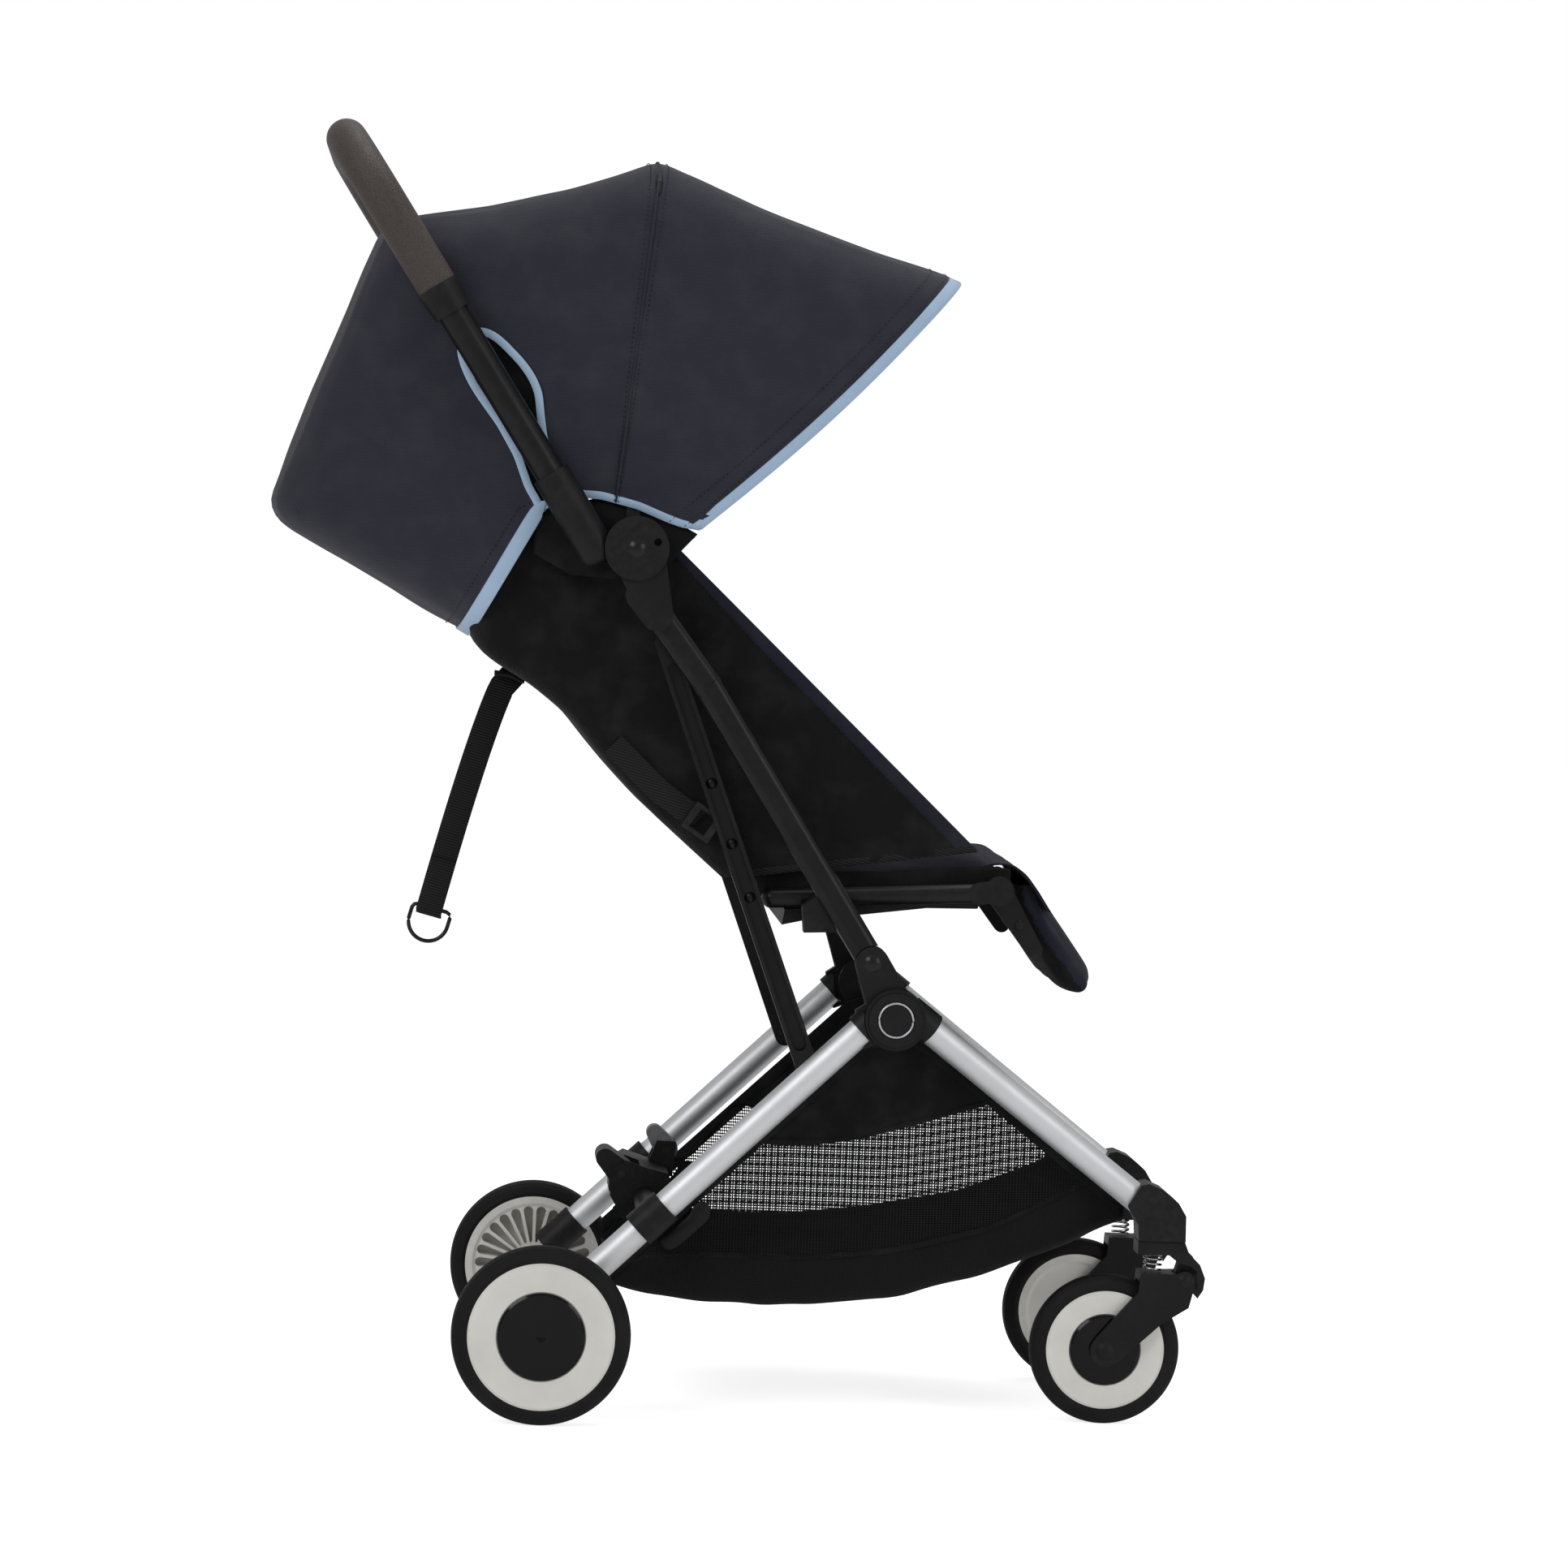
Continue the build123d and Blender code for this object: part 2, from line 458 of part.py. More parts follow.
# back: outer shell, pad, wings, harness, recline webbing, pull strap
BACK = [(-14, 446), (-41, 465), (-75, 494), (-113, 532), (-145, 571), (-176, 594), (-201, 607),
        (-222, 622), (-236, 660), (-246, 715), (-250, 775)]
FRONT = [(-6, 463), (-32, 483), (-66, 517), (-103, 556), (-134, 594), (-162, 630), (-184, 664),
         (-202, 704), (-216, 775)]
shell = layer(BACK, -9.0, 0.0, -150.0, 150.0)
parts["backrest_shell"] = shell
pad = layer(FRONT, 0.0, 8.0, -140.0, 140.0)
parts["backrest_pad"] = pad
straps = layer([(-96, 555), (-127, 594), (-155, 630), (-177, 664), (-194, 704)], -3.0, -0.6, 34.0, 58.0)
parts["harness_straps"] = both(straps)
crotch = ribbon([(96, 457), (84, 480), (76, 500)], 3.0, -14.0, 14.0)
parts["crotch_strap"] = crotch
buckle = slab([(82, 502), (62, 506), (56, 522), (62, 540), (78, 538), (86, 520)], -22.0, 22.0)
buckle = fillet(buckle.edges().filter_by(Axis.Y), 4.0)
parts["harness_buckle"] = buckle
wing_pts = [(-68, 700), (190, 479), (156, 474), (114, 467), (58, 460), (18, 460), (-10, 462),
            (-41, 476), (-75, 506), (-113, 545), (-145, 583), (-176, 606), (-201, 619), (-216, 640),
            (-226, 700), (-150, 722)]
parts["side_wings"] = both(slab(wing_pts, 152.0, 156.0))
web_strip = ribbon([(-108, 548), (-70, 512), (-36, 489)], 20.0, 157.5, 159.0)
parts["recline_webbing"] = both(web_strip)
frame_b = ribbon([(-44, 494), (-22, 480)], 24.0, 160.0, 162.4)
frame_b -= ribbon([(-39, 491), (-27, 483)], 17.0, 159.0, 164.0)
parts["recline_buckles"] = both(frame_b)

STRAP = [(-196, 590), (-206, 556), (-218, 520), (-229, 480), (-238, 446), (-247, 410), (-250.5, 398)]
STRAP_W = 22.0
strap = ribbon(STRAP, STRAP_W, -1.2, 1.2)
bar_c = (-250.5, 395.0)
bar_d = (0.966, -0.259)
low_loop = rod((bar_c[0] - 11 * bar_d[0], 0, bar_c[1] - 11 * bar_d[1]),
               (bar_c[0] + 11 * bar_d[0], 0, bar_c[1] + 11 * bar_d[1]), 3.4)
strap += low_loop
strap -= rod((bar_c[0] - 40 * bar_d[0], 0, bar_c[1] - 40 * bar_d[1]),
             (bar_c[0] + 40 * bar_d[0], 0, bar_c[1] + 40 * bar_d[1]), 2.1)
strap += slab([(-206, 600), (-184, 586), (-178, 590), (-176, 592), (-200, 605.5)], -14.0, 14.0)
parts["pull_strap"] = strap


def ring_point(u, v):
    """Point in the ring's plane: u along the bar, v down from it."""
    return (bar_c[0] + u * bar_d[0] + v * bar_d[1], 0, bar_c[1] + u * bar_d[1] - v * bar_d[0])


ring_path = Wire([
    Line(ring_point(-15, 0), ring_point(15, 0)),
    ThreePointArc(ring_point(15, 0), ring_point(17.6, 1.2), ring_point(17.0, 4.5)),
    ThreePointArc(ring_point(17.0, 4.5), ring_point(0, 30), ring_point(-17.0, 4.5)),
    ThreePointArc(ring_point(-17.0, 4.5), ring_point(-17.6, 1.2), ring_point(-15, 0)),
])
ring = rod(ring_point(-16, 0), ring_point(16, 0), 1.75)
loop_pts = [ring_point(-16, 0)]
for i in range(13):
    t = math.pi * i / 12
    loop_pts.append(ring_point(-17.5 * math.cos(t), 8.0 + 18.0 * math.sin(t)))
loop_pts.append(ring_point(16, 0))
for a, b in zip(loop_pts[:-1], loop_pts[1:]):
    ring += rod(a, b, 1.75)
    ring += Pos(*b) * Sphere(1.75)
ring += Pos(*loop_pts[0]) * Sphere(1.75)
parts["strap_ring"] = ring

# ---------------------------------------------------------------------------
# canopy: rear and front sheets, ridge bow and front bow
# ---------------------------------------------------------------------------
CAN_Y, CAN_T = 171.5, 2.0
OUTLINE = [(-229, 623), (-384, 707), (-394, 716), (-398.6, 728), (-384, 772), (-331, 912), (-314, 955),
           (-302, 966), (-280, 970), (-224, 980), (-163, 996), (-95, 1019), (-79, 1019), (-5, 989),
           (42, 973), (102, 953), (158, 938), (165, 932), (106, 862), (42, 798), (-21, 740),
           (-45, 719), (-60, 721), (-96, 734), (-116, 747), (-153, 742), (-172, 728), (-190, 695)]
INNER = [(-222, 622), (-382, 709.5), (-391, 718), (-396.2, 728), (-382, 771), (-329, 911), (-312, 954),
         (-301, 964), (-280, 968), (-224, 978), (-163, 994), (-94.5, 1017), (-79.5, 1017), (-6, 987),
         (41, 971), (101, 951), (157, 936), (175, 940), (118, 850), (42, 770), (-21, 715),
         (-45, 700), (-100, 700), (-153, 700), (-160, 680), (-180, 640)]
hood = slab(OUTLINE, -CAN_Y, CAN_Y) - slab(INNER, -CAN_Y + CAN_T, CAN_Y - CAN_T)
RIDGE_T, RIDGE_B = (-88.0, 1040.0), (-117.0, 690.0)
cut_rear = slab([(-88.2, 1040), (-117.2, 690), (-500, 500), (-500, 1100)], -200, 200)
cut_front = slab([(-87.8, 1040), (-116.8, 690), (300, 600), (300, 1100)], -200, 200)
eye = slab([(-243, 862), (-214, 866), (-196, 850), (-180, 815), (-180, 790), (-176, 752), (-172, 726),
            (-188, 745), (-205, 785), (-232, 825)], 150.0, 200.0)
eye += flip(eye)
parts["canopy_rear"] = (hood & cut_rear) - eye
parts["canopy_front"] = hood & cut_front


def bow(base, top, y, r, bend):
    """Thin U bow standing on side-view point base, with its bar at top."""
    a, b = (base[0], y, base[1]), (top[0], y, top[1])
    d = math.hypot(top[0] - base[0], top[1] - base[1])
    u = ((top[0] - base[0]) / d, (top[1] - base[1]) / d)
    e = along(top, u, -bend)
    steps = [a, (e[0], y, e[1])]
    for i in (1, 2, 3):
        t = math.radians(22.5 * i)
        q = along(e, u, bend * math.sin(t))
        steps.append((q[0], y - bend + bend * math.cos(t), q[1]))
    steps.append((top[0], y - bend, top[1]))
    steps.append((top[0], 0, top[1]))
    out = None
    for p, q in zip(steps[:-1], steps[1:]):
        seg = rod(p, q, r) + Pos(*p) * Sphere(r)
        out = seg if out is None else out + seg
    return out + flip(out)


for name, foot_pt, bar_pt, y0, y1 in (("ridge_bow", (-100.0, 738.0), (-88.5, 1011.0), 166.0, 169.0),
                                      ("front_bow", (-73.0, 734.0), (142.0, 927.0), 159.0, 165.6)):
    eye = disc(ELBOW, 13.0, y0, y1) + link(ELBOW, 10.0, foot_pt, 5.0, y0, y1)
    eye -= disc(ELBOW, 4.0 + RUN, 150.0, 180.0)
    parts[name] = bow(foot_pt, bar_pt, 162.0, 3.0, 26.0) + eye + flip(eye)

# ---------------------------------------------------------------------------
# shopping basket slung between the legs
# ---------------------------------------------------------------------------
SIDE = [(112, 304), (-92, 106), (-84, 101), (-27, 91.5), (30, 90), (75, 91.5), (140, 99), (206, 115),
        (256, 133), (300, 150), (332, 168), (330, 173), (150, 308), (132, 310)]
SIDE_IN = [(112, 320), (-40, 172), (-84, 120), (-80, 103.5), (-27, 94), (30, 92.5), (75, 94),
           (139.5, 101.5), (205, 117.5), (255, 135.5), (299, 152.5), (318, 163), (330, 190), (150, 330)]
PLAN = [(-100, -163), (150, -152), (335, -104), (335, 104), (150, 152), (-100, 163)]
PLAN_IN = [(-100, -161), (149.7, -150), (335, -102), (335, 102), (149.7, 150), (-100, 161)]


def plan(points, z0, z1):
    return extrude(Pos(0, 0, z0) * Polygon(*points, align=None), amount=z1 - z0, dir=(0, 0, 1))


basket = slab(SIDE, -170, 170) & plan(PLAN, 60, 360)
basket -= slab(SIDE_IN, -170, 170) & plan(PLAN_IN, 60, 400)
parts["basket"] = basket

if __name__ == "__main__":
    for name, shape in parts.items():
        shape = group(shape)
        shape.label = name
        export_step(shape, f"parts/{name}.step")
    for name, shape in parts.items():
        b = shape.bounding_box()
        print(f"{name:22s} {len(shape.solids())} solids  x {b.min.X:7.1f} {b.max.X:7.1f}"
              f"  y {b.min.Y:7.1f} {b.max.Y:7.1f}  z {b.min.Z:7.1f} {b.max.Z:7.1f}")
    box = Compound(children=[s for p in parts.values() for s in p.solids()]).bounding_box()
    print(len(parts), "nodes", box)
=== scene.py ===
import json
import math

import bmesh
import bpy
from mathutils import Matrix, Vector, noise


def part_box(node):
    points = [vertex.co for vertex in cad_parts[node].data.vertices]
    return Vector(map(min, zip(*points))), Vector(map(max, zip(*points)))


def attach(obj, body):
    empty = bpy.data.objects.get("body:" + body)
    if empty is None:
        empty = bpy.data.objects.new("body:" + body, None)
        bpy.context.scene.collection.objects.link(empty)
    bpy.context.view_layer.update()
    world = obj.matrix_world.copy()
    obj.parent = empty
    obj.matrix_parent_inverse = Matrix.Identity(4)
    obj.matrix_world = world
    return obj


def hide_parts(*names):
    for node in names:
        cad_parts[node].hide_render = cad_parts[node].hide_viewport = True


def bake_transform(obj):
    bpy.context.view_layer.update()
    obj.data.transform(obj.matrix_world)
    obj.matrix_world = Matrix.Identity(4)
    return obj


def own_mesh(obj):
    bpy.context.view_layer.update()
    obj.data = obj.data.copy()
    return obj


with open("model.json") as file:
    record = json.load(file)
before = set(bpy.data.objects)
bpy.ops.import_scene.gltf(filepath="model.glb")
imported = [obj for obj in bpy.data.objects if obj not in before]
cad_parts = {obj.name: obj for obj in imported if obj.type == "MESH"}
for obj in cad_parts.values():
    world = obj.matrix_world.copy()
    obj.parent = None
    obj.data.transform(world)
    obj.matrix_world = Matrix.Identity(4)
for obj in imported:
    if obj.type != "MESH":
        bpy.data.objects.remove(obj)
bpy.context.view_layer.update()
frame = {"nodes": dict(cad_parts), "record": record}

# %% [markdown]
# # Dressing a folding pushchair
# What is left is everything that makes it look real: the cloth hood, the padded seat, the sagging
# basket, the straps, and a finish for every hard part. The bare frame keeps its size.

MM = 0.001
record = frame["record"]


def corner(*nodes):
    """Lowest corner of some CAD parts in millimetres: every outline below is measured from one."""
    lows = [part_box(node)[0] for node in nodes]
    return tuple(min(low[i] for low in lows) / MM for i in range(3))


def placed(origin, outline):
    """A side-view outline, written from an (x, z) corner, put in its place."""
    return [(origin[0] + x, origin[2] + z) for x, z in outline]


# %% [markdown]
# ## A small kit for building meshes
# Cloth parts here are all woven from rows of points, the way a loft works in a CAD program. Blender could
# also loft with curves or with geometry nodes, but rows of points keep full control of where every seam
# runs. Each helper does one tailor's job: space out an outline, weave rows into a sheet, give it a
# thickness, wrap a tape round its edge, or run a line of stitches along it.

# %% Outlines
def spaced(points, count):
    """The same outline with evenly spaced points, for 2-D or 3-D points."""
    reach = [0.0]
    for a, b in zip(points, points[1:]):
        reach.append(reach[-1] + math.dist(a, b))
    out, k = [], 0
    for i in range(count):
        s = reach[-1] * i / (count - 1)
        while k < len(points) - 2 and reach[k + 1] < s:
            k += 1
        f = (s - reach[k]) / max(reach[k + 1] - reach[k], 1e-9)
        f = min(max(f, 0.0), 1.0)
        out.append(tuple(p + (q - p) * f for p, q in zip(points[k], points[k + 1])))
    return out


def eased(points, passes=2, closed=False):
    """Rounds the corners of an outline a little by averaging neighbours."""
    for _ in range(passes):
        n = len(points)
        fresh = []
        for i, p in enumerate(points):
            if not closed and i in (0, n - 1):
                fresh.append(p)
                continue
            a, b = points[i - 1], points[(i + 1) % n]
            fresh.append(tuple((x + 2 * y + z) / 4 for x, y, z in zip(a, p, b)))
        points = fresh
    return points


def bell(x, width):
    """A soft bump, 1 at zero and gone after about two widths."""
    return math.exp(-((x / width) ** 2))


def smooth(x):
    x = min(max(x, 0.0), 1.0)
    return x * x * (3 - 2 * x)


def crumple(p, size, seed=0.0):
    """Soft uneven value from -1 to 1 that changes over about size millimetres."""
    return noise.noise(Vector(p) / size + Vector((seed, seed * 2.3, seed * 0.7)))


# %% Sheets, thickness and tapes
def mesh_piece(name, points, faces, even=True):
    mesh = bpy.data.meshes.new(name)
    mesh.from_pydata([tuple(c * MM for c in p) for p in points], [], faces)
    mesh.validate()
    mesh.shade_smooth() if even else mesh.shade_flat()
    piece = bpy.data.objects.new(name, mesh)
    bpy.context.scene.collection.objects.link(piece)
    return piece


def woven(name, rows, loop=False):
    """Weaves rows of points into one sheet. loop joins the last point of each row to its first."""
    n = len(rows[0])
    last = n if loop else n - 1
    faces = [(i * n + j, i * n + (j + 1) % n, (i + 1) * n + (j + 1) % n, (i + 1) * n + j)
             for i in range(len(rows) - 1) for j in range(last)]
    return mesh_piece(name, [p for row in rows for p in row], faces)


def tidy(piece, gap=0.05):
    """Welds points that coincide and drops faces with no area."""
    bm = bmesh.new()
    bm.from_mesh(piece.data)
    bmesh.ops.remove_doubles(bm, verts=bm.verts, dist=gap * MM)
    bmesh.ops.dissolve_degenerate(bm, edges=bm.edges, dist=gap * MM)
    loose = [v for v in bm.verts if not v.link_faces]
    bmesh.ops.delete(bm, geom=loose, context="VERTS")
    bmesh.ops.recalc_face_normals(bm, faces=bm.faces)
    bm.to_mesh(piece.data)
    bm.free()
    return piece


def freeze(piece):
    """Turns what the modifiers make into the piece's own mesh."""
    graph = bpy.context.evaluated_depsgraph_get()
    graph.update()
    mesh = bpy.data.meshes.new_from_object(piece.evaluated_get(graph))
    piece.modifiers.clear()
    piece.data = mesh
    mesh.shade_smooth()
    return piece


def thicken(piece, thick, side=0.0, lining=False):
    """Gives a sheet a real thickness in millimetres. With lining, its back takes the second finish."""
    solid = piece.modifiers.new("thickness", "SOLIDIFY")
    solid.thickness, solid.offset, solid.use_even_offset = thick * MM, side, False
    solid.use_rim = True
    if lining:
        solid.material_offset = 1
    return freeze(piece)


def push(piece, amount):
    """Moves each point along its normal by amount(point in mm) millimetres."""
    moves = [(v, v.normal.copy(), amount(v.co / MM)) for v in piece.data.vertices]
    for v, normal, mm in moves:
        v.co += normal * (mm * MM)
    piece.data.update()
    return piece


# section of a tape: how far across the cloth, and how far through its thickness
TAPE = ((-1.0, -0.30), (-0.7, -0.5), (0.9, -0.5), (1.0, -0.3),
        (1.0, 0.3), (0.9, 0.5), (-0.7, 0.5), (-1.0, 0.30))


def tape(name, path, inward, normal, width, thick, over=1.2, loop=False):
    """A flat tape folded over an edge: width reaches inward over the cloth, over stands past the edge."""
    rows = []
    for i, p in enumerate(path):
        a, n = Vector(inward[i]).normalized(), Vector(normal[i]).normalized()
        w = width(i / (len(path) - 1)) if callable(width) else width
        row = []
        for u, v in TAPE:
            along = (w if u > 0 else over) * u
            row.append(tuple(Vector(p) + a * along + n * (v * thick)))
        rows.append(row)
    if loop:
        rows.append(rows[0])
    piece = woven(name, rows, loop=True)
    if not loop:
        cap_ends(piece, len(TAPE))
    return tidy(piece, 0.02)


def cap_ends(piece, n):
    """Closes both ends of a tube whose rings hold n points."""
    bm = bmesh.new()
    bm.from_mesh(piece.data)
    bm.verts.ensure_lookup_table()
    total = len(bm.verts)
    bm.faces.new([bm.verts[i] for i in range(n)])
    bm.faces.new([bm.verts[total - n + i] for i in range(n)])
    bmesh.ops.recalc_face_normals(bm, faces=bm.faces)
    bm.to_mesh(piece.data)
    bm.free()
    return piece


def stitches(name, lines, long=3.0, gap=1.6, thick=0.42):
    """Rows of sewn thread. Each line is a list of (point, surface normal)."""
    points, faces = [], []
    for line in lines:
        run = spaced([tuple(p) + tuple(n) for p, n in line],
                     max(2, int(sum(math.dist(a[0], b[0]) for a, b in zip(line, line[1:])) / 0.8)))
        step = max(1, round((long + gap) / 0.8))
        hold = max(1, round(long / 0.8))
        for i in range(0, len(run) - hold, step):
            p, q = Vector(run[i][:3]), Vector(run[i + hold][:3])
            n = Vector(run[i][3:]).normalized()
            if (q - p).length < 0.5:
                continue
            side = (q - p).normalized().cross(n) * thick
            k = len(points)
            mid_a, mid_b = p.lerp(q, 0.25) + n * thick * 0.6, p.lerp(q, 0.75) + n * thick * 0.6
            points += [tuple(p - n * 0.2), tuple(mid_a + side), tuple(mid_a - side), tuple(mid_b + side),
                       tuple(mid_b - side), tuple(q - n * 0.2), tuple(mid_a + n * thick),
                       tuple(mid_b + n * thick)]
            faces += [(k, k + 1, k + 6), (k, k + 6, k + 2), (k + 1, k + 3, k + 7, k + 6),
                      (k + 2, k + 6, k + 7, k + 4), (k + 3, k + 5, k + 7), (k + 4, k + 7, k + 5),
                      (k, k + 2, k + 1), (k + 1, k + 2, k + 4, k + 3), (k + 3, k + 4, k + 5)]
    return mesh_piece(name, points, faces)


def tube(name, path, radius, loop=False, ring=10):
    """A round cord of stitching or piping along 3-D points, radius in millimetres."""
    rows, up = [], Vector((0, 0, 1))
    n = len(path)
    for i in range(n):
        a = Vector(path[i - 1 if (i or loop) else 0])
        b = Vector(path[(i + 1) % n if (loop or i < n - 1) else i])
        t = (b - a).normalized()
        side = t.cross(up)
        side = side.normalized() if side.length > 1e-4 else t.orthogonal().normalized()
        top = side.cross(t).normalized()
        rows.append([tuple(Vector(path[i]) + side * (radius * math.cos(w)) + top * (radius * math.sin(w)))
                     for w in [2 * math.pi * k / ring for k in range(ring)]])
    if loop:
        rows.append(rows[0])
    piece = woven(name, rows, loop=True)
    if not loop:
        cap_ends(piece, ring)
    return tidy(piece, 0.02)


def joined(name, pieces):
    """Joins finished meshes into one piece and keeps each part's own finishes."""
    bm = bmesh.new()
    finishes = []
    for piece in pieces:
        base = []
        for m in piece.data.materials:
            if m not in finishes:
                finishes.append(m)
            base.append(finishes.index(m))
        before = len(bm.faces)
        bm.from_mesh(piece.data)
        bm.faces.ensure_lookup_table()
        for f in bm.faces[before:]:
            f.material_index = base[f.material_index] if base else 0
        bpy.data.objects.remove(piece)
    mesh = bpy.data.meshes.new(name)
    bm.to_mesh(mesh)
    bm.free()
    for m in finishes:
        mesh.materials.append(m)
    whole = bpy.data.objects.new(name, mesh)
    bpy.context.scene.collection.objects.link(whole)
    return whole


print("mesh kit ready")

# %% [markdown]
# ## The studio and the camera
# A pushchair is easiest to judge from the side and from far away, because near and far wheels then look
# almost the same size. The camera therefore stands five metres off with a long lens of about 137 mm, a touch
# behind the middle and turned slightly forward. The floor is a plain pale plane and the light comes from
# large soft panels, because dark cloth only shows its folds when a wide light grazes it.

# %% Camera
cam_data = bpy.data.cameras.new("camera")
cam_data.lens, cam_data.sensor_width = 137.4, 36.0
camera = bpy.data.objects.new("camera", cam_data)
bpy.context.scene.collection.objects.link(camera)
bpy.context.scene.camera = camera
YAW, PITCH, ROLL = math.radians(3.36), math.radians(2.73), math.radians(2.39)
ahead = Vector((math.sin(YAW) * math.cos(PITCH), math.cos(YAW) * math.cos(PITCH), -math.sin(PITCH)))
level = Vector((math.cos(YAW), -math.sin(YAW), 0))
above = level.cross(ahead)
right = level * math.cos(ROLL) + above * math.sin(ROLL)
upward = above * math.cos(ROLL) - level * math.sin(ROLL)
STAND = Vector((-0.253, -5.020, 0.753))
camera.matrix_world = Matrix([(right[i], upward[i], -ahead[i], STAND[i]) for i in range(3)] + [(0, 0, 0, 1)])
print("camera stands", round(STAND.length, 2), "m from the origin")

# %% Floor, sky and soft panels
floor = bpy.data.meshes.new("floor")
floor.from_pydata([(-14, -9, 0), (14, -9, 0), (14, 14, 0), (-14, 14, 0)], [], [(0, 1, 2, 3)])
floor = bpy.data.objects.new("floor", floor)
bpy.context.scene.collection.objects.link(floor)

sky = bpy.data.worlds.new("studio")
bpy.context.scene.world = sky
sky.use_nodes = True
backdrop = sky.node_tree.nodes["Background"]
backdrop.inputs["Color"].default_value = (1.0, 1.0, 1.0, 1)
seen = sky.node_tree.nodes.new("ShaderNodeLightPath")
# the camera sees it white, polished metal sees it grey, and cloth gets the least of it
level_of = 0.24
for ray, share in (("Is Glossy Ray", 0.5), ("Is Camera Ray", 1.0)):
    bright = sky.node_tree.nodes.new("ShaderNodeMapRange")
    bright.inputs["To Max"].default_value = share
    if isinstance(level_of, float):
        bright.inputs["To Min"].default_value = level_of
    else:
        sky.node_tree.links.new(level_of, bright.inputs["To Min"])
    sky.node_tree.links.new(seen.outputs[ray], bright.inputs["Value"])
    level_of = bright.outputs["Result"]
sky.node_tree.links.new(level_of, backdrop.inputs["Strength"])


def panel(name, place, aim, width, height, power):
    """One soft light panel that faces the pushchair."""
    data = bpy.data.lights.new(name, "AREA")
    data.shape, data.size, data.size_y, data.energy = "RECTANGLE", width, height, power
    lamp = bpy.data.objects.new(name, data)
    lamp.location = place
    lamp.rotation_euler = (Vector(aim) - Vector(place)).to_track_quat("-Z", "Y").to_euler()
    bpy.context.scene.collection.objects.link(lamp)


panel("key_panel", (-2.2, -2.6, 2.6), (0, 0, 0.6), 1.6, 1.6, 40)
panel("fill_panel", (2.6, -2.4, 1.6), (0, 0, 0.5), 1.2, 2.0, 20)
panel("top_panel", (0.3, 0.2, 3.2), (0, 0, 0.5), 2.2, 1.4, 30)
bpy.context.scene.view_settings.view_transform = "Standard"
bpy.context.scene.view_settings.look = "None"

# %% [markdown]
# ## Finishes
# Every finish starts from a few effects that keep coming back: the criss-cross of threads, the uneven tone
# of real cloth, the pebbles of leather or moulded plastic, the ribs of webbing, light wear and dust. Each
# effect is a node group with named sockets, made once and used by many materials with their own numbers,
# as a stencil is used by a painter. They read the object's own coordinates, so they need no unwrapping
# and stay in place when a part moves.

# %% Wiring helper
class Wiring:
    """Adds nodes to a tree and joins them with short calls."""

    def __init__(self, tree):
        self.tree = tree

    def add(self, kind, **inputs):
        node = self.tree.nodes.new(kind)
        for name, value in inputs.items():
            self.feed(node.inputs[name.replace("_", " ")], value)
        return node

    def feed(self, socket, value):
        if isinstance(value, bpy.types.NodeSocket):
            self.tree.links.new(value, socket)
        else:
            socket.default_value = value

    def sum(self, how, a, b=0.0):
        node = self.tree.nodes.new("ShaderNodeMath")
        node.operation = how
        self.feed(node.inputs[0], a)
        self.feed(node.inputs[1], b)
        return node.outputs[0]

    def span(self, value, low, high, out_low=0.0, out_high=1.0):
        node = self.tree.nodes.new("ShaderNodeMapRange")
        for name, v in zip(("Value", "From Min", "From Max", "To Min", "To Max"),
                           (value, low, high, out_low, out_high)):
            self.feed(node.inputs[name], v)
        return node.outputs["Result"]

    def tint(self, share, a, b):
        node = self.tree.nodes.new("ShaderNodeMix")
        node.data_type = "RGBA"
        self.feed(node.inputs[0], share)
        self.feed(node.inputs[6], a)
        self.feed(node.inputs[7], b)
        return node.outputs[2]

    def speckle(self, scale, detail=2.0, vector=None):
        node = self.tree.nodes.new("ShaderNodeTexNoise")
        node.inputs["Scale"].default_value, node.inputs["Detail"].default_value = scale, detail
        self.feed(node.inputs["Vector"], vector or self.place())
        return node.outputs["Fac"]

    def place(self):
        return self.tree.nodes.new("ShaderNodeTexCoord").outputs["Object"]

    def axes(self, vector=None):
        node = self.tree.nodes.new("ShaderNodeSeparateXYZ")
        self.feed(node.inputs[0], vector or self.place())
        return node.outputs


NUMBER, COLOUR = "NodeSocketFloat", "NodeSocketColor"


def effect(name, takes, gives):
    """Starts a node group: its wiring, its input sockets and a function that sets an output."""
    tree = bpy.data.node_groups.new(name, "ShaderNodeTree")
    for label, kind, value in takes:
        tree.interface.new_socket(name=label, in_out="INPUT", socket_type=kind).default_value = value
    for label, kind in gives:
        tree.interface.new_socket(name=label, in_out="OUTPUT", socket_type=kind)
    way_in, way_out = tree.nodes.new("NodeGroupInput"), tree.nodes.new("NodeGroupOutput")
    wiring = Wiring(tree)
    return wiring, way_in.outputs, lambda label, value: wiring.feed(way_out.inputs[label], value)


# %% Threads of cloth
w, take, give = effect("threads", [("Cloth", COLOUR, (0, 0, 0, 1)), ("Shade", COLOUR, (0, 0, 0, 1)),
                                   ("Pitch mm", NUMBER, 1.4), ("Slant", NUMBER, 1.0)],
                       [("Colour", COLOUR), ("Height", NUMBER), ("Roughness", NUMBER)])
x, y, z = w.axes()
turn = w.sum("DIVIDE", 2 * math.pi / MM, take["Pitch mm"])
warp = w.sum("SINE", w.sum("MULTIPLY", w.sum("ADD", x, y), turn))
slanted = w.sum("MULTIPLY", w.sum("ADD", y, x), take["Slant"])
weft = w.sum("SINE", w.sum("MULTIPLY", w.sum("ADD", z, slanted), turn))
knots = w.span(w.sum("MULTIPLY", warp, weft), -1.0, 1.0)
fuzz = w.speckle(900.0, 3.0)
height = w.sum("ADD", knots, w.sum("MULTIPLY", fuzz, 0.5))
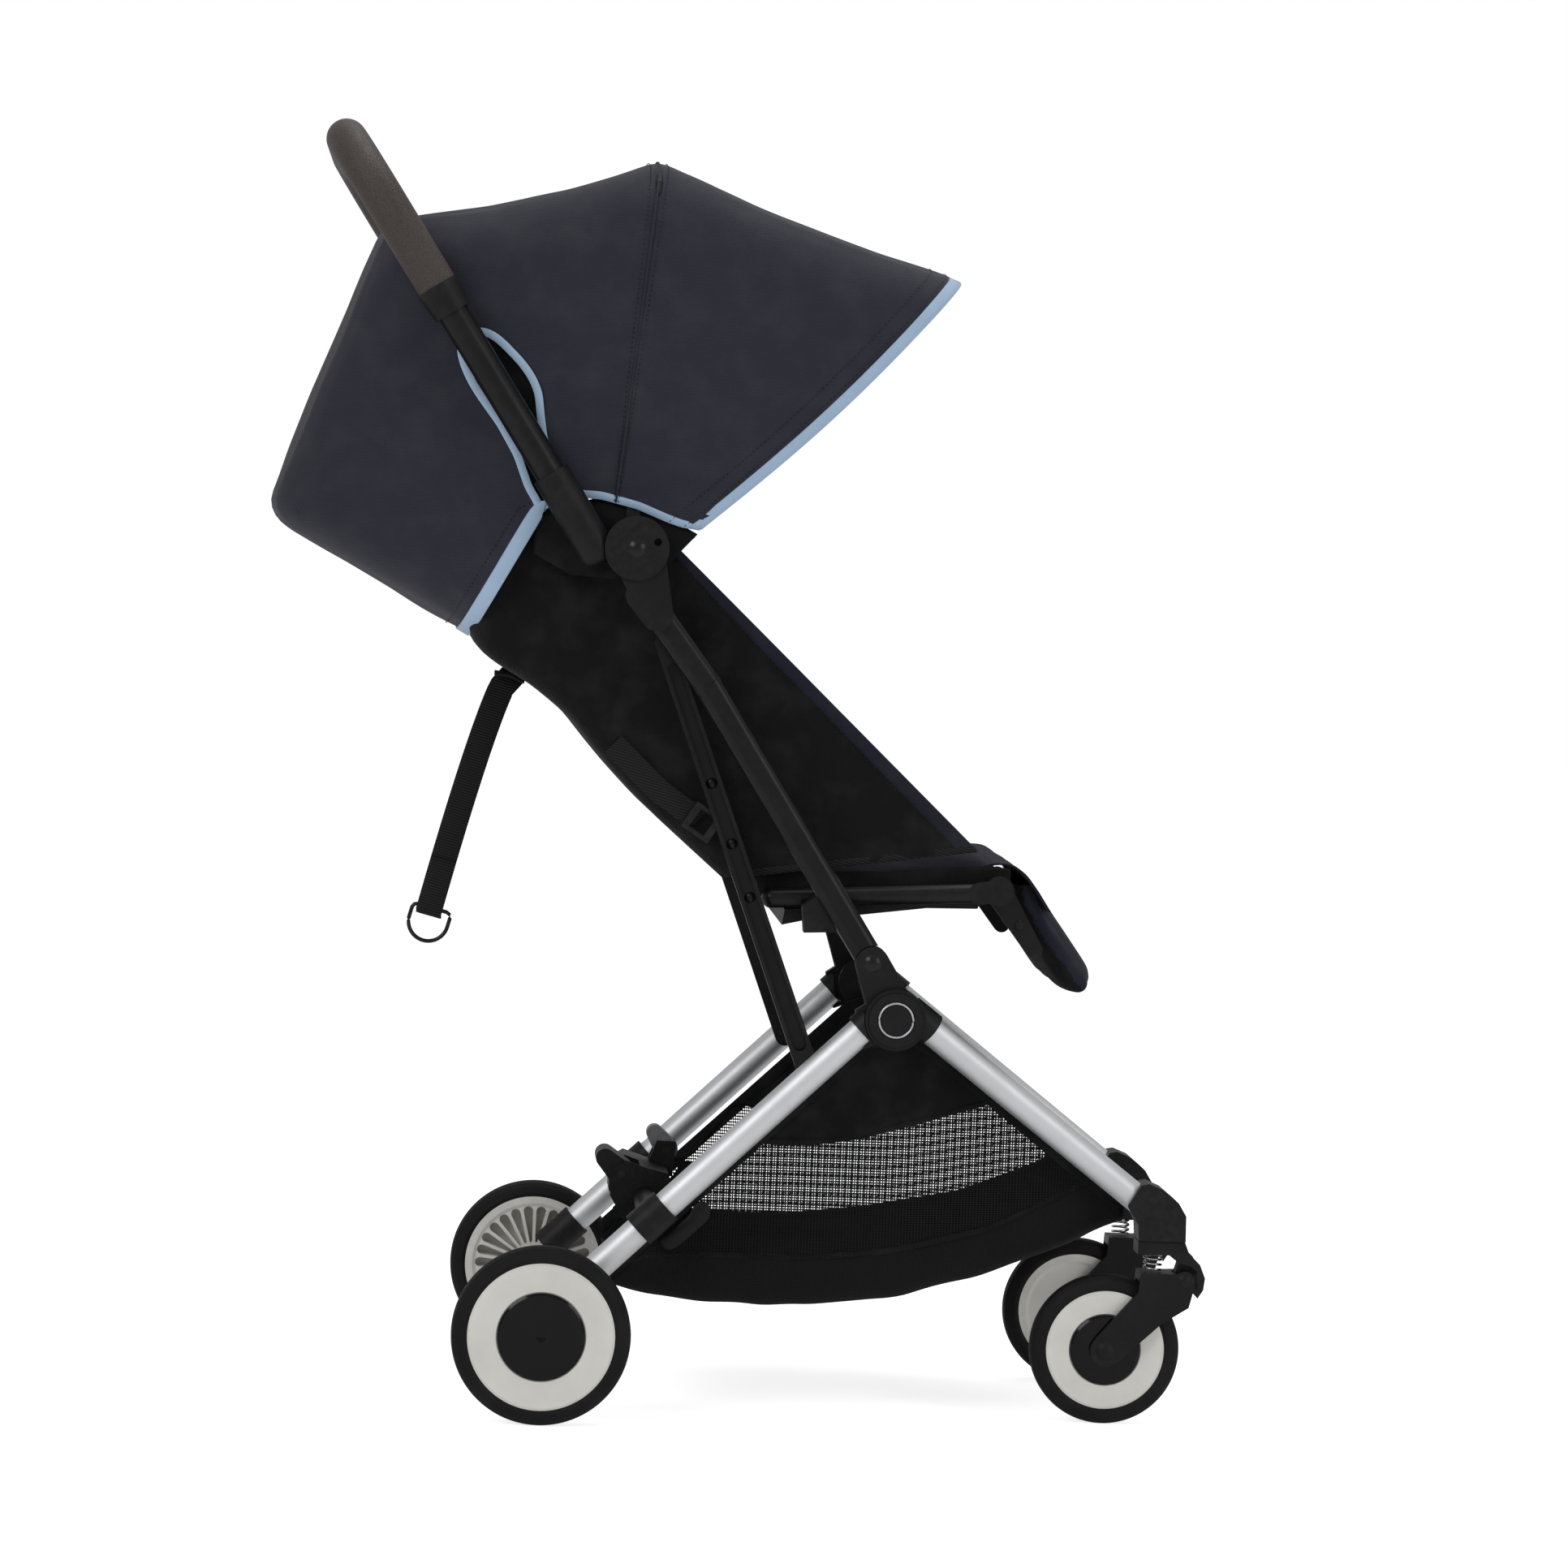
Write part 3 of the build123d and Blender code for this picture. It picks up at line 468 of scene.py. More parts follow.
give("Height", height)
give("Colour", w.tint(w.span(height, 0.2, 1.2), take["Shade"], take["Cloth"]))
give("Roughness", w.span(height, 0.2, 1.2, 0.95, 0.78))

# %% Uneven tone
w, take, give = effect("uneven_tone", [("Colour", COLOUR, (0, 0, 0, 1)), ("Other", COLOUR, (0, 0, 0, 1)),
                                       ("Amount", NUMBER, 0.5), ("Size mm", NUMBER, 60.0)],
                       [("Colour", COLOUR), ("Mask", NUMBER)])
node = w.add("ShaderNodeTexNoise", Vector=w.place(), Detail=5.0, Roughness=0.6)
w.feed(node.inputs["Scale"], w.sum("DIVIDE", 1 / MM, take["Size mm"]))
mask = w.sum("MULTIPLY", w.span(node.outputs["Fac"], 0.35, 0.68), take["Amount"])
give("Mask", mask)
give("Colour", w.tint(mask, take["Colour"], take["Other"]))

# %% Pebbles of leather and moulded plastic
w, take, give = effect("pebbles", [("Size mm", NUMBER, 2.0), ("Crease", NUMBER, 0.5)],
                       [("Height", NUMBER), ("Crease mask", NUMBER)])
cells = w.add("ShaderNodeTexVoronoi", Vector=w.place())
cells.feature = "DISTANCE_TO_EDGE"
w.feed(cells.inputs["Scale"], w.sum("DIVIDE", 1 / MM, take["Size mm"]))
crown = w.span(cells.outputs["Distance"], 0.0, 0.35)
crease = w.sum("MULTIPLY", w.span(cells.outputs["Distance"], 0.12, 0.0), take["Crease"])
give("Height", w.sum("ADD", crown, w.sum("MULTIPLY", w.speckle(1400.0), 0.3)))
give("Crease mask", crease)

# %% Ribs of webbing
w, take, give = effect("webbing_ribs", [("Across", NUMBER, 1.0), ("Pitch mm", NUMBER, 2.0)],
                       [("Height", NUMBER), ("Mask", NUMBER)])
x, y, z = w.axes()
turn = w.sum("DIVIDE", 2 * math.pi / MM, take["Pitch mm"])
run = w.sum("ADD", z, w.sum("MULTIPLY", x, take["Across"]))
rib = w.span(w.sum("SINE", w.sum("MULTIPLY", run, turn)), -1.0, 1.0)
rows = w.span(w.sum("SINE", w.sum("MULTIPLY", y, w.sum("MULTIPLY", turn, 1.3))), -1.0, 1.0)
give("Height", w.sum("ADD", rib, w.sum("MULTIPLY", rows, 0.35)))
give("Mask", rib)

# %% Wear and dust
w, take, give = effect("rubbed_edges", [("Colour", COLOUR, (0, 0, 0, 1)), ("Rubbed", COLOUR, (1, 1, 1, 1)),
                                        ("Amount", NUMBER, 0.4)], [("Colour", COLOUR), ("Mask", NUMBER)])
edge = w.add("ShaderNodeNewGeometry").outputs["Pointiness"]
rub = w.sum("MULTIPLY", w.span(edge, 0.52, 0.60), w.span(w.speckle(160.0, 4.0), 0.35, 0.7))
rub = w.sum("MULTIPLY", rub, take["Amount"])
give("Mask", rub)
give("Colour", w.tint(rub, take["Colour"], take["Rubbed"]))

w, take, give = effect("dust", [("Colour", COLOUR, (0, 0, 0, 1)), ("Dust", COLOUR, (0.35, 0.33, 0.3, 1)),
                                ("Amount", NUMBER, 0.1)], [("Colour", COLOUR), ("Roughness", NUMBER)])
grime = w.sum("MULTIPLY", w.span(w.speckle(35.0, 8.0), 0.45, 0.75), take["Amount"])
give("Colour", w.tint(grime, take["Colour"], take["Dust"]))
give("Roughness", w.span(grime, 0.0, 0.3, 0.0, 0.25))

# %% Open mesh
w, take, give = effect("net_holes", [("Pitch mm", NUMBER, 2.9), ("Hole", NUMBER, 0.5)],
                       [("Alpha", NUMBER), ("Height", NUMBER)])
x, y, z = w.axes()
turn = w.sum("DIVIDE", 2 * math.pi / MM, take["Pitch mm"])
# the lattice leans a little differently on each side, so two layers never beat against each other
skew = w.sum("MULTIPLY", w.sum("SIGN", y), 0.16)
x = w.sum("MULTIPLY", x, w.sum("ADD", 1.0, skew))
z = w.sum("MULTIPLY", z, w.sum("SUBTRACT", 1.0, skew))
a = w.sum("SINE", w.sum("MULTIPLY", w.sum("ADD", x, z), turn))
b = w.sum("SINE", w.sum("MULTIPLY", w.sum("SUBTRACT", x, z), turn))
lattice = w.span(w.sum("MULTIPLY", a, b), -1.0, 1.0)
give("Alpha", w.sum("LESS_THAN", lattice, take["Hole"]))
give("Height", w.sum("SUBTRACT", 1.0, lattice))
print("effects:", sorted(g.name for g in bpy.data.node_groups))


# %% [markdown]
# A material is then one shader with a few effects feeding its colour, roughness and a bump. The shader's
# plain numbers, such as how glossy or how metallic it is, stay on the shader itself.

# %% Making a material
def finish(name, colour, rough=0.5, metal=0.0, **shader):
    """A material with its wiring and its shader. shader sets plain values on the shader."""
    made = bpy.data.materials.new(name)
    made.use_nodes = True
    made.diffuse_color = (*colour, 1)
    body = made.node_tree.nodes["Principled BSDF"]
    body.inputs["Base Color"].default_value = (*colour, 1)
    body.inputs["Roughness"].default_value, body.inputs["Metallic"].default_value = rough, metal
    for label, value in shader.items():
        body.inputs[label.replace("_", " ")].default_value = value
    return made, Wiring(made.node_tree), body


def use(wiring, name, **values):
    """Places an effect in a material."""
    node = wiring.tree.nodes.new("ShaderNodeGroup")
    node.node_tree = bpy.data.node_groups[name]
    for label, value in values.items():
        wiring.feed(node.inputs[label.replace("_", " ")], value)
    return node.outputs


def relief(wiring, body, height, mm, strength=1.0):
    """Turns a height into a bump of that many millimetres."""
    bump = wiring.tree.nodes.new("ShaderNodeBump")
    bump.inputs["Distance"].default_value, bump.inputs["Strength"].default_value = mm * MM, strength
    wiring.feed(bump.inputs["Height"], height)
    wiring.feed(body.inputs["Normal"], bump.outputs["Normal"])


def shade(colour, k):
    return (*[c * k for c in colour[:3]], 1)


# %% Cloth finishes
def cloth(name, colour, pitch, mm=0.12, slant=1.0, dark=0.6, light=1.25, sheen=0.25, tone=0.5, pull=70.0):
    made, w, body = finish(name, colour, 0.9, Sheen_Weight=sheen, Sheen_Roughness=0.5, IOR=1.3)
    thread = use(w, "threads", Cloth=shade(colour, light), Shade=shade(colour, dark), Pitch_mm=pitch,
                 Slant=slant)
    toned = use(w, "uneven_tone", Colour=thread["Colour"], Other=shade(colour, 0.75), Amount=tone,
                Size_mm=pull)
    dusty = use(w, "dust", Colour=toned["Colour"], Amount=0.03)
    w.feed(body.inputs["Base Color"], dusty["Colour"])
    w.feed(body.inputs["Roughness"], thread["Roughness"])
    relief(w, body, thread["Height"], mm)
    return made


NAVY = (0.0265, 0.0268, 0.041)
navy_twill = cloth("navy_twill", NAVY, 1.5, 0.12, dark=0.68, light=1.25, sheen=0.10, tone=0.2, pull=110.0)
seat_navy = cloth("seat_navy", (0.012, 0.012, 0.025), 1.3, 0.08, sheen=0.05)
black_cloth = cloth("black_cloth", (0.0028, 0.0028, 0.0034), 1.3, 0.08, slant=0.0, sheen=0.02)
black_lining = cloth("black_lining", (0.0035, 0.0035, 0.004), 1.8, 0.08, slant=0.0, sheen=0.02)
blue_binding = cloth("blue_binding", (0.42, 0.57, 0.76), 1.1, 0.08, slant=0.0, dark=0.86, light=1.04,
                     sheen=0.3, tone=0.3, pull=30.0)
dark_thread = cloth("dark_thread", (0.008, 0.008, 0.012), 0.6, 0.05, sheen=0.05)

# %% Webbing, net and leather
webbing, w, body = finish("ribbed_webbing", (0.004, 0.004, 0.004), 0.8, Sheen_Weight=0.04,
                          Specular_IOR_Level=0.3)
ribs = use(w, "webbing_ribs", Across=0.25, Pitch_mm=2.3)
w.feed(body.inputs["Base Color"], w.tint(ribs["Mask"], (0.002, 0.002, 0.002, 1), (0.008, 0.008, 0.0085, 1)))
w.feed(body.inputs["Roughness"], w.span(ribs["Mask"], 0, 1, 0.9, 0.6))
relief(w, body, ribs["Height"], 0.35)


def net(name, pitch, hole, clear):
    made, w, body = finish(name, (0.005, 0.005, 0.0055), 0.85, Specular_IOR_Level=0.2)
    holes = use(w, "net_holes", Pitch_mm=pitch, Hole=hole)
    tone = use(w, "uneven_tone", Colour=(0.005, 0.005, 0.0055, 1), Other=(0.003, 0.003, 0.0035, 1))
    w.feed(body.inputs["Base Color"], tone["Colour"])
    if clear:
        w.feed(body.inputs["Alpha"], holes["Alpha"])
    w.feed(body.inputs["Roughness"], w.span(holes["Height"], 0, 1, 0.95, 0.7))
    relief(w, body, holes["Height"], 0.3)
    return made


open_net = net("open_net", 4.3, 0.57, True)
fine_net = net("fine_net", 3.0, 0.72, False)

leather, w, body = finish("pebbled_leather", (0.045, 0.031, 0.027), 0.5, Coat_Weight=0.05, Coat_Roughness=0.4)
grain = use(w, "pebbles", Size_mm=1.7, Crease=0.8)
tone = use(w, "uneven_tone", Colour=(0.052, 0.036, 0.031, 1), Other=(0.036, 0.025, 0.022, 1), Size_mm=40.0)
w.feed(body.inputs["Base Color"], w.tint(grain["Crease mask"], tone["Colour"], (0.018, 0.012, 0.01, 1)))
w.feed(body.inputs["Roughness"], w.span(grain["Height"], 0, 1.2, 0.62, 0.42))
relief(w, body, grain["Height"], 0.22)


# %% Hard finishes
def moulded(name, colour, rough, grain_mm, mm, rub=0.25, dust=0.05, **shader):
    made, w, body = finish(name, colour, rough, **shader)
    rubbed = use(w, "rubbed_edges", Colour=(*colour, 1), Rubbed=shade([c + 0.03 for c in colour], 2.0),
                 Amount=rub)
    dusty = use(w, "dust", Colour=rubbed["Colour"], Amount=dust)
    tone = use(w, "uneven_tone", Colour=dusty["Colour"], Other=shade(colour, 0.8), Amount=0.4, Size_mm=45.0)
    w.feed(body.inputs["Base Color"], tone["Colour"])
    w.feed(body.inputs["Roughness"], w.sum("ADD", w.span(tone["Mask"], 0, 1, rough - 0.04, rough + 0.08),
                                           dusty["Roughness"]))
    if mm:
        relief(w, body, use(w, "pebbles", Size_mm=grain_mm)["Height"], mm)
    return made


black_plastic = moulded("fine_black_plastic", (0.0045, 0.0045, 0.005), 0.48, 0.9, 0.035, rub=0.12, dust=0.015,
                        Specular_IOR_Level=0.22)
satin_black = moulded("satin_black_tube", (0.004, 0.004, 0.0045), 0.36, 0.8, 0.012, rub=0.1, dust=0.015,
                      Specular_IOR_Level=0.24)
gloss_black = moulded("gloss_black", (0.002, 0.002, 0.0022), 0.12, 1.0, 0.0, rub=0.0, dust=0.006,
                      Specular_IOR_Level=0.2)
grey_plastic = moulded("grey_plastic", (0.16, 0.17, 0.18), 0.4, 1.0, 0.03)
warm_grey = moulded("warm_grey_plastic", (0.80, 0.79, 0.74), 0.5, 1.2, 0.02, rub=0.1, dust=0.08)
black_steel = moulded("black_steel", (0.012, 0.012, 0.013), 0.3, 1.0, 0.01, metal=0.6)
tyre_rubber = moulded("foamed_rubber", (0.0035, 0.0035, 0.0038), 0.7, 1.3, 0.05, rub=0.0, dust=0.02,
                      Specular_IOR_Level=0.22)
ring_silver = moulded("ring_silver", (0.5, 0.5, 0.52), 0.35, 1.0, 0.0, metal=1.0)


def drawn_metal(name, colour, rough, mm):
    made, w, body = finish(name, colour, rough, 1.0)
    grains = w.add("ShaderNodeMapping")
    w.feed(grains.inputs["Vector"], w.place())
    grains.inputs["Scale"].default_value = (1.0, 6.0, 1.0)
    fine = w.speckle(700.0, 4.0, grains.outputs["Vector"])
    tone = use(w, "uneven_tone", Colour=(*colour, 1), Other=shade(colour, 0.9), Amount=0.5, Size_mm=90.0)
    dusty = use(w, "dust", Colour=tone["Colour"], Amount=0.06)
    w.feed(body.inputs["Base Color"], dusty["Colour"])
    w.feed(body.inputs["Roughness"], w.sum("ADD", w.span(fine, 0.3, 0.7, rough - 0.05, rough + 0.06),
                                           dusty["Roughness"]))
    relief(w, body, fine, mm, 0.6)
    return made


anodised = drawn_metal("satin_anodised", (0.70, 0.71, 0.73), 0.52, 0.008)
bright_steel = drawn_metal("bright_spring_steel", (0.62, 0.62, 0.64), 0.2, 0.006)
pale_floor, w, body = finish("pale_floor", (0.9, 0.9, 0.9), 0.9, Emission_Color=(1, 1, 1, 1))
eye = pale_floor.node_tree.nodes.new("ShaderNodeLightPath").outputs["Is Camera Ray"]
w.feed(body.inputs["Emission Strength"], w.span(eye, 0, 1, 0.22, 0.80))
body.inputs["Specular IOR Level"].default_value = 0.0
floor.data.materials.append(pale_floor)
FINISHES = {"black_metal": satin_black, "silver_tube": anodised, "black_plastic": black_plastic,
            "gloss_black": gloss_black, "grey_plastic": grey_plastic, "warm_grey": warm_grey,
            "tyre": tyre_rubber, "leather": leather, "navy_fabric": seat_navy, "black_fabric": black_cloth,
            "webbing": webbing, "black_steel": black_steel, "bright_steel": bright_steel}

# %% [markdown]
# The record says which finish each CAD part takes, so painting them is one loop.

# %% Paint the hard parts


def dress(piece, *finishes, slot=None):
    piece.data.materials.clear()
    for one in finishes:
        piece.data.materials.append(one)
    return piece


slots_of = {}
for part in record["subparts"]:
    slots_of[part["node"]] = part["material_slot"]
for name, part in frame["nodes"].items():
    dress(part, FINISHES.get(slots_of[name], black_plastic))
dress(frame["nodes"]["recline_buckles"], black_steel)
print(len(frame["nodes"]), "CAD parts painted in", len(set(slots_of.values())), "finishes")

# %% [markdown]
# ## The hood
# On the real thing the hood is one cloth cover, sewn from gores and pulled tight over two bows. Five flat
# panels would look like a box, so it is built as a fan: every rib of the fan starts low beside the folding
# joint, climbs the side, turns over a soft corner, crosses the top with a slight crown and comes down the
# other side. The cloth sinks a little between the bows, and the ridge bow lifts it into a narrow pocket.
# The outlines are measured from the corner of the CAD hood, so the cloth stays where the frame expects it.

# %% Outlines of the hood
HOOD = corner("canopy_rear", "canopy_front")
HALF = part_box("canopy_rear")[1].y / MM - 0.6
crest = placed(HOOD, [(169.6, 0), (14.6, 84), (5, 92.5), (0.4, 105), (14.6, 149), (67.6, 289), (84.6, 331),
                      (96.6, 343), (118.6, 347), (174.6, 356), (235.6, 372.5), (304, 395.6), (319.2, 395.6),
                      (393.6, 366), (440.6, 350), (500.6, 330), (556.6, 315), (564.6, 310)])
foot = placed(HOOD, [(226.6, 105), (233, 112), (245.6, 119), (272.6, 118), (302.6, 111), (325.6, 102),
                     (338.6, 98), (353.6, 96)])
# how far along the foot line each crest point has its rib: crest corner -> share of the foot
SHARES = [0, 0.02, 0.03, 0.04, 0.06, 0.10, 0.12, 0.14, 0.17,
          0.24, 0.33, 0.455, 0.485, 0.62, 0.73, 0.87, 0.98, 1.0]
RIBS = 132
with_share = [(x, z, s) for (x, z), s in zip(crest, SHARES)]
crest_run = eased(spaced(with_share, RIBS), 1)
foot_fine = eased(spaced(foot, 200), 3)
RIDGE = min(range(RIBS), key=lambda i: abs(crest_run[i][2] - 0.47))
print("hood is", round(2 * HALF), "mm wide; its ridge is rib", RIDGE, "of", RIBS)


def bow_sag(i):
    """How deep the cloth sinks at a rib, 0 at a bow or hem and 1 half way between two."""
    if i <= RIDGE:
        return max(math.sin(math.pi * i / RIDGE), 0.0) ** 1.5
    return max(math.sin(math.pi * (i - RIDGE) / (RIBS - 1 - RIDGE)), 0.0) ** 1.5


def hood_rib(i):
    """One rib of the fan, as 3-D points from the right foot to the left foot."""
    tx, tz, share = crest_run[i]
    bx, bz = foot_fine[round(share * 199)]
    up = Vector((tx - bx, 0, tz - bz))
    tall = up.length
    up.normalize()
    across = Vector((-up.z, 0, up.x))
    bend = -7.5 * smooth((i - RIDGE) / (RIBS - 1 - RIDGE)) if i > RIDGE else 0.0
    sag = bow_sag(i)
    round_r = min(52.0, tall * 0.42)
    crown = 7.0
    pocket = 1.6 * bell((i - RIDGE) * 6.0, 9.0)
    points = []
    for k in range(46):
        h = (tall - crown - round_r) * k / 46
        points.append((-HALF, h))
    for k in range(11):
        a = math.pi / 2 * k / 11
        points.append((-HALF + round_r * (1 - math.cos(a)), tall - crown - round_r + round_r * math.sin(a)))
    flat = HALF - round_r
    for k in range(17):
        y = -flat + flat * k / 16
        points.append((y, tall - crown * (y / flat) ** 2))
    points += [(-y, h) for y, h in points[-2::-1]]
    out = []
    for y, h in points:
        t = h / tall
        if abs(y) > HALF - 2:
            drop = sag * 5.5 * math.sin(math.pi * min(t, 1))
        else:
            drop = sag * 4.0 * smooth((abs(y) / HALF))
        side_in = drop if abs(y) > HALF - round_r * 0.6 else 0.0
        yy = (abs(y) - side_in + pocket * (abs(y) > HALF - 2) * smooth(t * 4)) * (1 if y > 0 else -1)
        lift = pocket if abs(y) < flat else pocket * 0.7
        swell = bend * math.sin(math.pi * min(t, 1))
        p = Vector((bx, 0, bz)) + up * (h + lift * smooth(t * 2)) + across * swell
        out.append((p.x, yy if abs(y) > 1e-6 else 0.0, p.z))
    return out


ribs = [hood_rib(i) for i in range(RIBS)]
hood = woven("hood_cloth", ribs)


def hood_folds(p):
    """Slack in the cloth: broad uneven tone and a few tension folds that fan out from the joint."""
    reach = math.hypot(p.x - foot[3][0], p.z - foot[3][1])
    turn = math.atan2(p.z - foot[3][1], p.x - foot[3][0])
    fan = math.sin(turn * 13 + 1.6 * crumple((reach, p.y, 0), 120, 3.0))
    mid = smooth(reach / 90) * smooth((330 - reach) / 120)
    return 1.4 * crumple(p, 95, 1.0) + 0.5 * crumple(p, 38, 5.0) + 0.55 * fan * mid


push(hood, hood_folds)

# %% [markdown]
# The handle passes through a slit in each side of the hood, rounded at its top like a buttonhole. It is cut
# after the sheet is woven: faces inside the slit go, and the points on the raw edge slide on to its outline,
# as scissors would leave it.

# %% Slits for the handle
slit_left = placed(HOOD, [(226.6, 105), (222, 116), (215.6, 125), (205.6, 151), (190.6, 176), (175, 196),
                          (166.6, 208), (160, 221), (156.6, 232), (157, 240), (162, 245), (170, 247)])
slit_right = placed(HOOD, [(179, 244), (187, 238), (202.6, 223), (211, 212), (216.6, 200), (218.6, 184),
                           (222, 163), (231, 138), (245.6, 119)])
slit_run = eased(spaced(slit_left + slit_right, 90), 2)
slit_shape = slit_run + placed(HOOD, [(243, 90), (232, 90)])


def inside(x, z, shape):
    hit = False
    for (x0, z0), (x1, z1) in zip(shape, shape[1:] + shape[:1]):
        if (z0 > z) != (z1 > z) and x < (x1 - x0) * (z - z0) / (z1 - z0) + x0:
            hit = not hit
    return hit


def nearest(x, z, run):
    best = None
    for (x0, z0), (x1, z1) in zip(run, run[1:]):
        d = (x1 - x0) ** 2 + (z1 - z0) ** 2
        t = min(max(((x - x0) * (x1 - x0) + (z - z0) * (z1 - z0)) / max(d, 1e-9), 0), 1)
        q = (x0 + (x1 - x0) * t, z0 + (z1 - z0) * t)
        gap = math.dist((x, z), q)
        if best is None or gap < best[0]:
            best = (gap, q)
    return best


slit_low = [min(p[i] for p in slit_shape) - 8 for i in (0, 1)]
slit_high = [max(p[i] for p in slit_shape) + 8 for i in (0, 1)]


def by_slit(co):
    """True for a point on a side of the hood that lies in the slit's neighbourhood."""
    return (abs(co.y) > (HALF - 14) * MM and slit_low[0] < co.x / MM < slit_high[0]
            and slit_low[1] < co.z / MM < slit_high[1])


bm = bmesh.new()
bm.from_mesh(hood.data)
near = [e for e in bm.edges if by_slit(e.verts[0].co) and e.calc_length() > 3.2 * MM and any(
    nearest(v.co.x / MM, v.co.z / MM, slit_run)[0] < 7 for v in e.verts)]
bmesh.ops.subdivide_edges(bm, edges=near, cuts=1, use_grid_fill=True)
middles = [(f, f.calc_center_median()) for f in bm.faces]
gone = [f for f, c in middles if by_slit(c) and inside(c.x / MM, c.z / MM, slit_shape)]
bmesh.ops.delete(bm, geom=gone, context="FACES")
for v in bm.verts:
    if v.is_boundary and by_slit(v.co):
        gap, q = nearest(v.co.x / MM, v.co.z / MM, slit_run)
        if gap < 4.5:
            v.co.x, v.co.z = q[0] * MM, q[1] * MM
bmesh.ops.triangulate(bm, faces=[f for f in bm.faces if len(f.verts) > 4])
bm.to_mesh(hood.data)
bm.free()
dress(hood, navy_twill, black_lining, slot="navy_fabric")
# the weaving order decides which side is out: the lining must face the middle
middle = hood.data.polygons[len(hood.data.polygons) // 2]
if middle.normal.z < 0:
    hood.data.flip_normals()
thicken(hood, 1.0, -1.0, lining=True)

# %% [markdown]
# Its raw edges are bound with a pale blue tape. The tape is a thin closed band that grips the edge: wide
# along the front rim and the rear flap, narrow along the low edge and round the slits. Two rows of thread
# follow the front rim, one follows the rear edge, and one runs on each side of the ridge.

# %% Binding and stitches
def side_edge(run, y):
    return [(x, y, z) for x, z in run]


def turned_right(run):
    """Directions that point to the right of a side-view path, where the cloth lies."""
    out = []
    for i in range(len(run)):
        (x0, z0), (x1, z1) = run[max(i - 1, 0)], run[min(i + 1, len(run) - 1)]
        out.append((z1 - z0, 0, -(x1 - x0)))
    return out


def rib_tape(name, i, step, width, thick=2.4, over=1.2, lift=0.0):
    """Tape along rib i that grips the edge; the cloth lies towards rib i + step."""
    here, there = ribs[i], ribs[i + step]
    inward = [Vector(b) - Vector(a) for a, b in zip(here, there)]
    normal = []
    for j in range(len(here)):
        along = Vector(here[min(j + 1, len(here) - 1)]) - Vector(here[max(j - 1, 0)])
        normal.append(along.cross(inward[j]))
    return tape(name, [tuple(Vector(p) + n.normalized() * lift) for p, n in zip(here, normal)],
                inward, normal, width, thick, over)


low_run = eased(spaced(foot[::-1][:6] + [foot[2]], 46), 2)
edge_run = low_run + slit_run[::-1][1:]
bands = []
for y in (-HALF, HALF):
    band = tape("band", side_edge(edge_run, y + (0.4 if y < 0 else -0.4)), turned_right(edge_run),
                [(0, 1, 0)] * len(edge_run), 5.4, 2.4, 1.0)
    bands.append(dress(band, blue_binding))
bands.append(dress(rib_tape("band", RIBS - 1, -4, 9.5), blue_binding))
bands.append(dress(rib_tape("band", 0, 4, 11.0), blue_binding))
binding = joined("hood_binding", bands)


def rib_line(i, lift=0.8, keep=lambda p: True):
    """Points and outward normals along rib i, for thread."""
    here, there = ribs[i], ribs[i + 1 if i < RIBS - 1 else i - 1]
    line = []
    for j in range(len(here)):
        along = Vector(here[min(j + 1, len(here) - 1)]) - Vector(here[max(j - 1, 0)])
        out = along.cross(Vector(there[j]) - Vector(here[j])).normalized()
        if out.dot(Vector(here[j]) - Vector((-60, 0, 780))) < 0:
            out = -out
        if keep(here[j]):
            line.append((tuple(Vector(here[j]) + out * lift), tuple(out)))
    return line


def offset_line(i, mm, lift=0.8):
    """A line of thread mm away from rib i, towards the ridge."""
    toward = -1 if i > RIDGE else 1
    k = i
    line = []
    for j in range(len(ribs[i])):
        left, k = mm, i
        p = Vector(ribs[i][j])
        while left > 0 and 0 <= k + toward < RIBS:
            step = Vector(ribs[k + toward][j]) - Vector(ribs[k][j])
            if step.length >= left:
                p = Vector(ribs[k][j]) + step.normalized() * left
                break
            left -= step.length
            k += toward
            p = Vector(ribs[k][j])
        out = Vector((p.x + 60, p.y * 1.4, p.z - 800)).normalized()
        if abs(p.y) > HALF - 12:
            out = Vector((0, 1 if p.y > 0 else -1, 0))
        line.append((tuple(p + out * lift), tuple(out)))
    return line


seam_lines = [offset_line(RIBS - 1, 26), offset_line(RIBS - 1, 13), offset_line(0, 20)]
ridge_lines = [rib_line(RIDGE - 1, 0.9), rib_line(RIDGE + 1, 0.9)]
thread = dress(stitches("hood_stitches", seam_lines + ridge_lines, 2.6, 1.5, 0.32), dark_thread,
               slot="navy_fabric")
ridge_seam = dress(tube("hood_ridge_seam", [p for p, _ in rib_line(RIDGE, 1.0)], 0.9, ring=6), navy_twill,
                   slot="navy_fabric")


def with_hood(piece):
    """Bakes a hood piece's placement into its own mesh."""
    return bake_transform(piece)


for piece in (hood, binding, thread, ridge_seam):
    with_hood(piece)

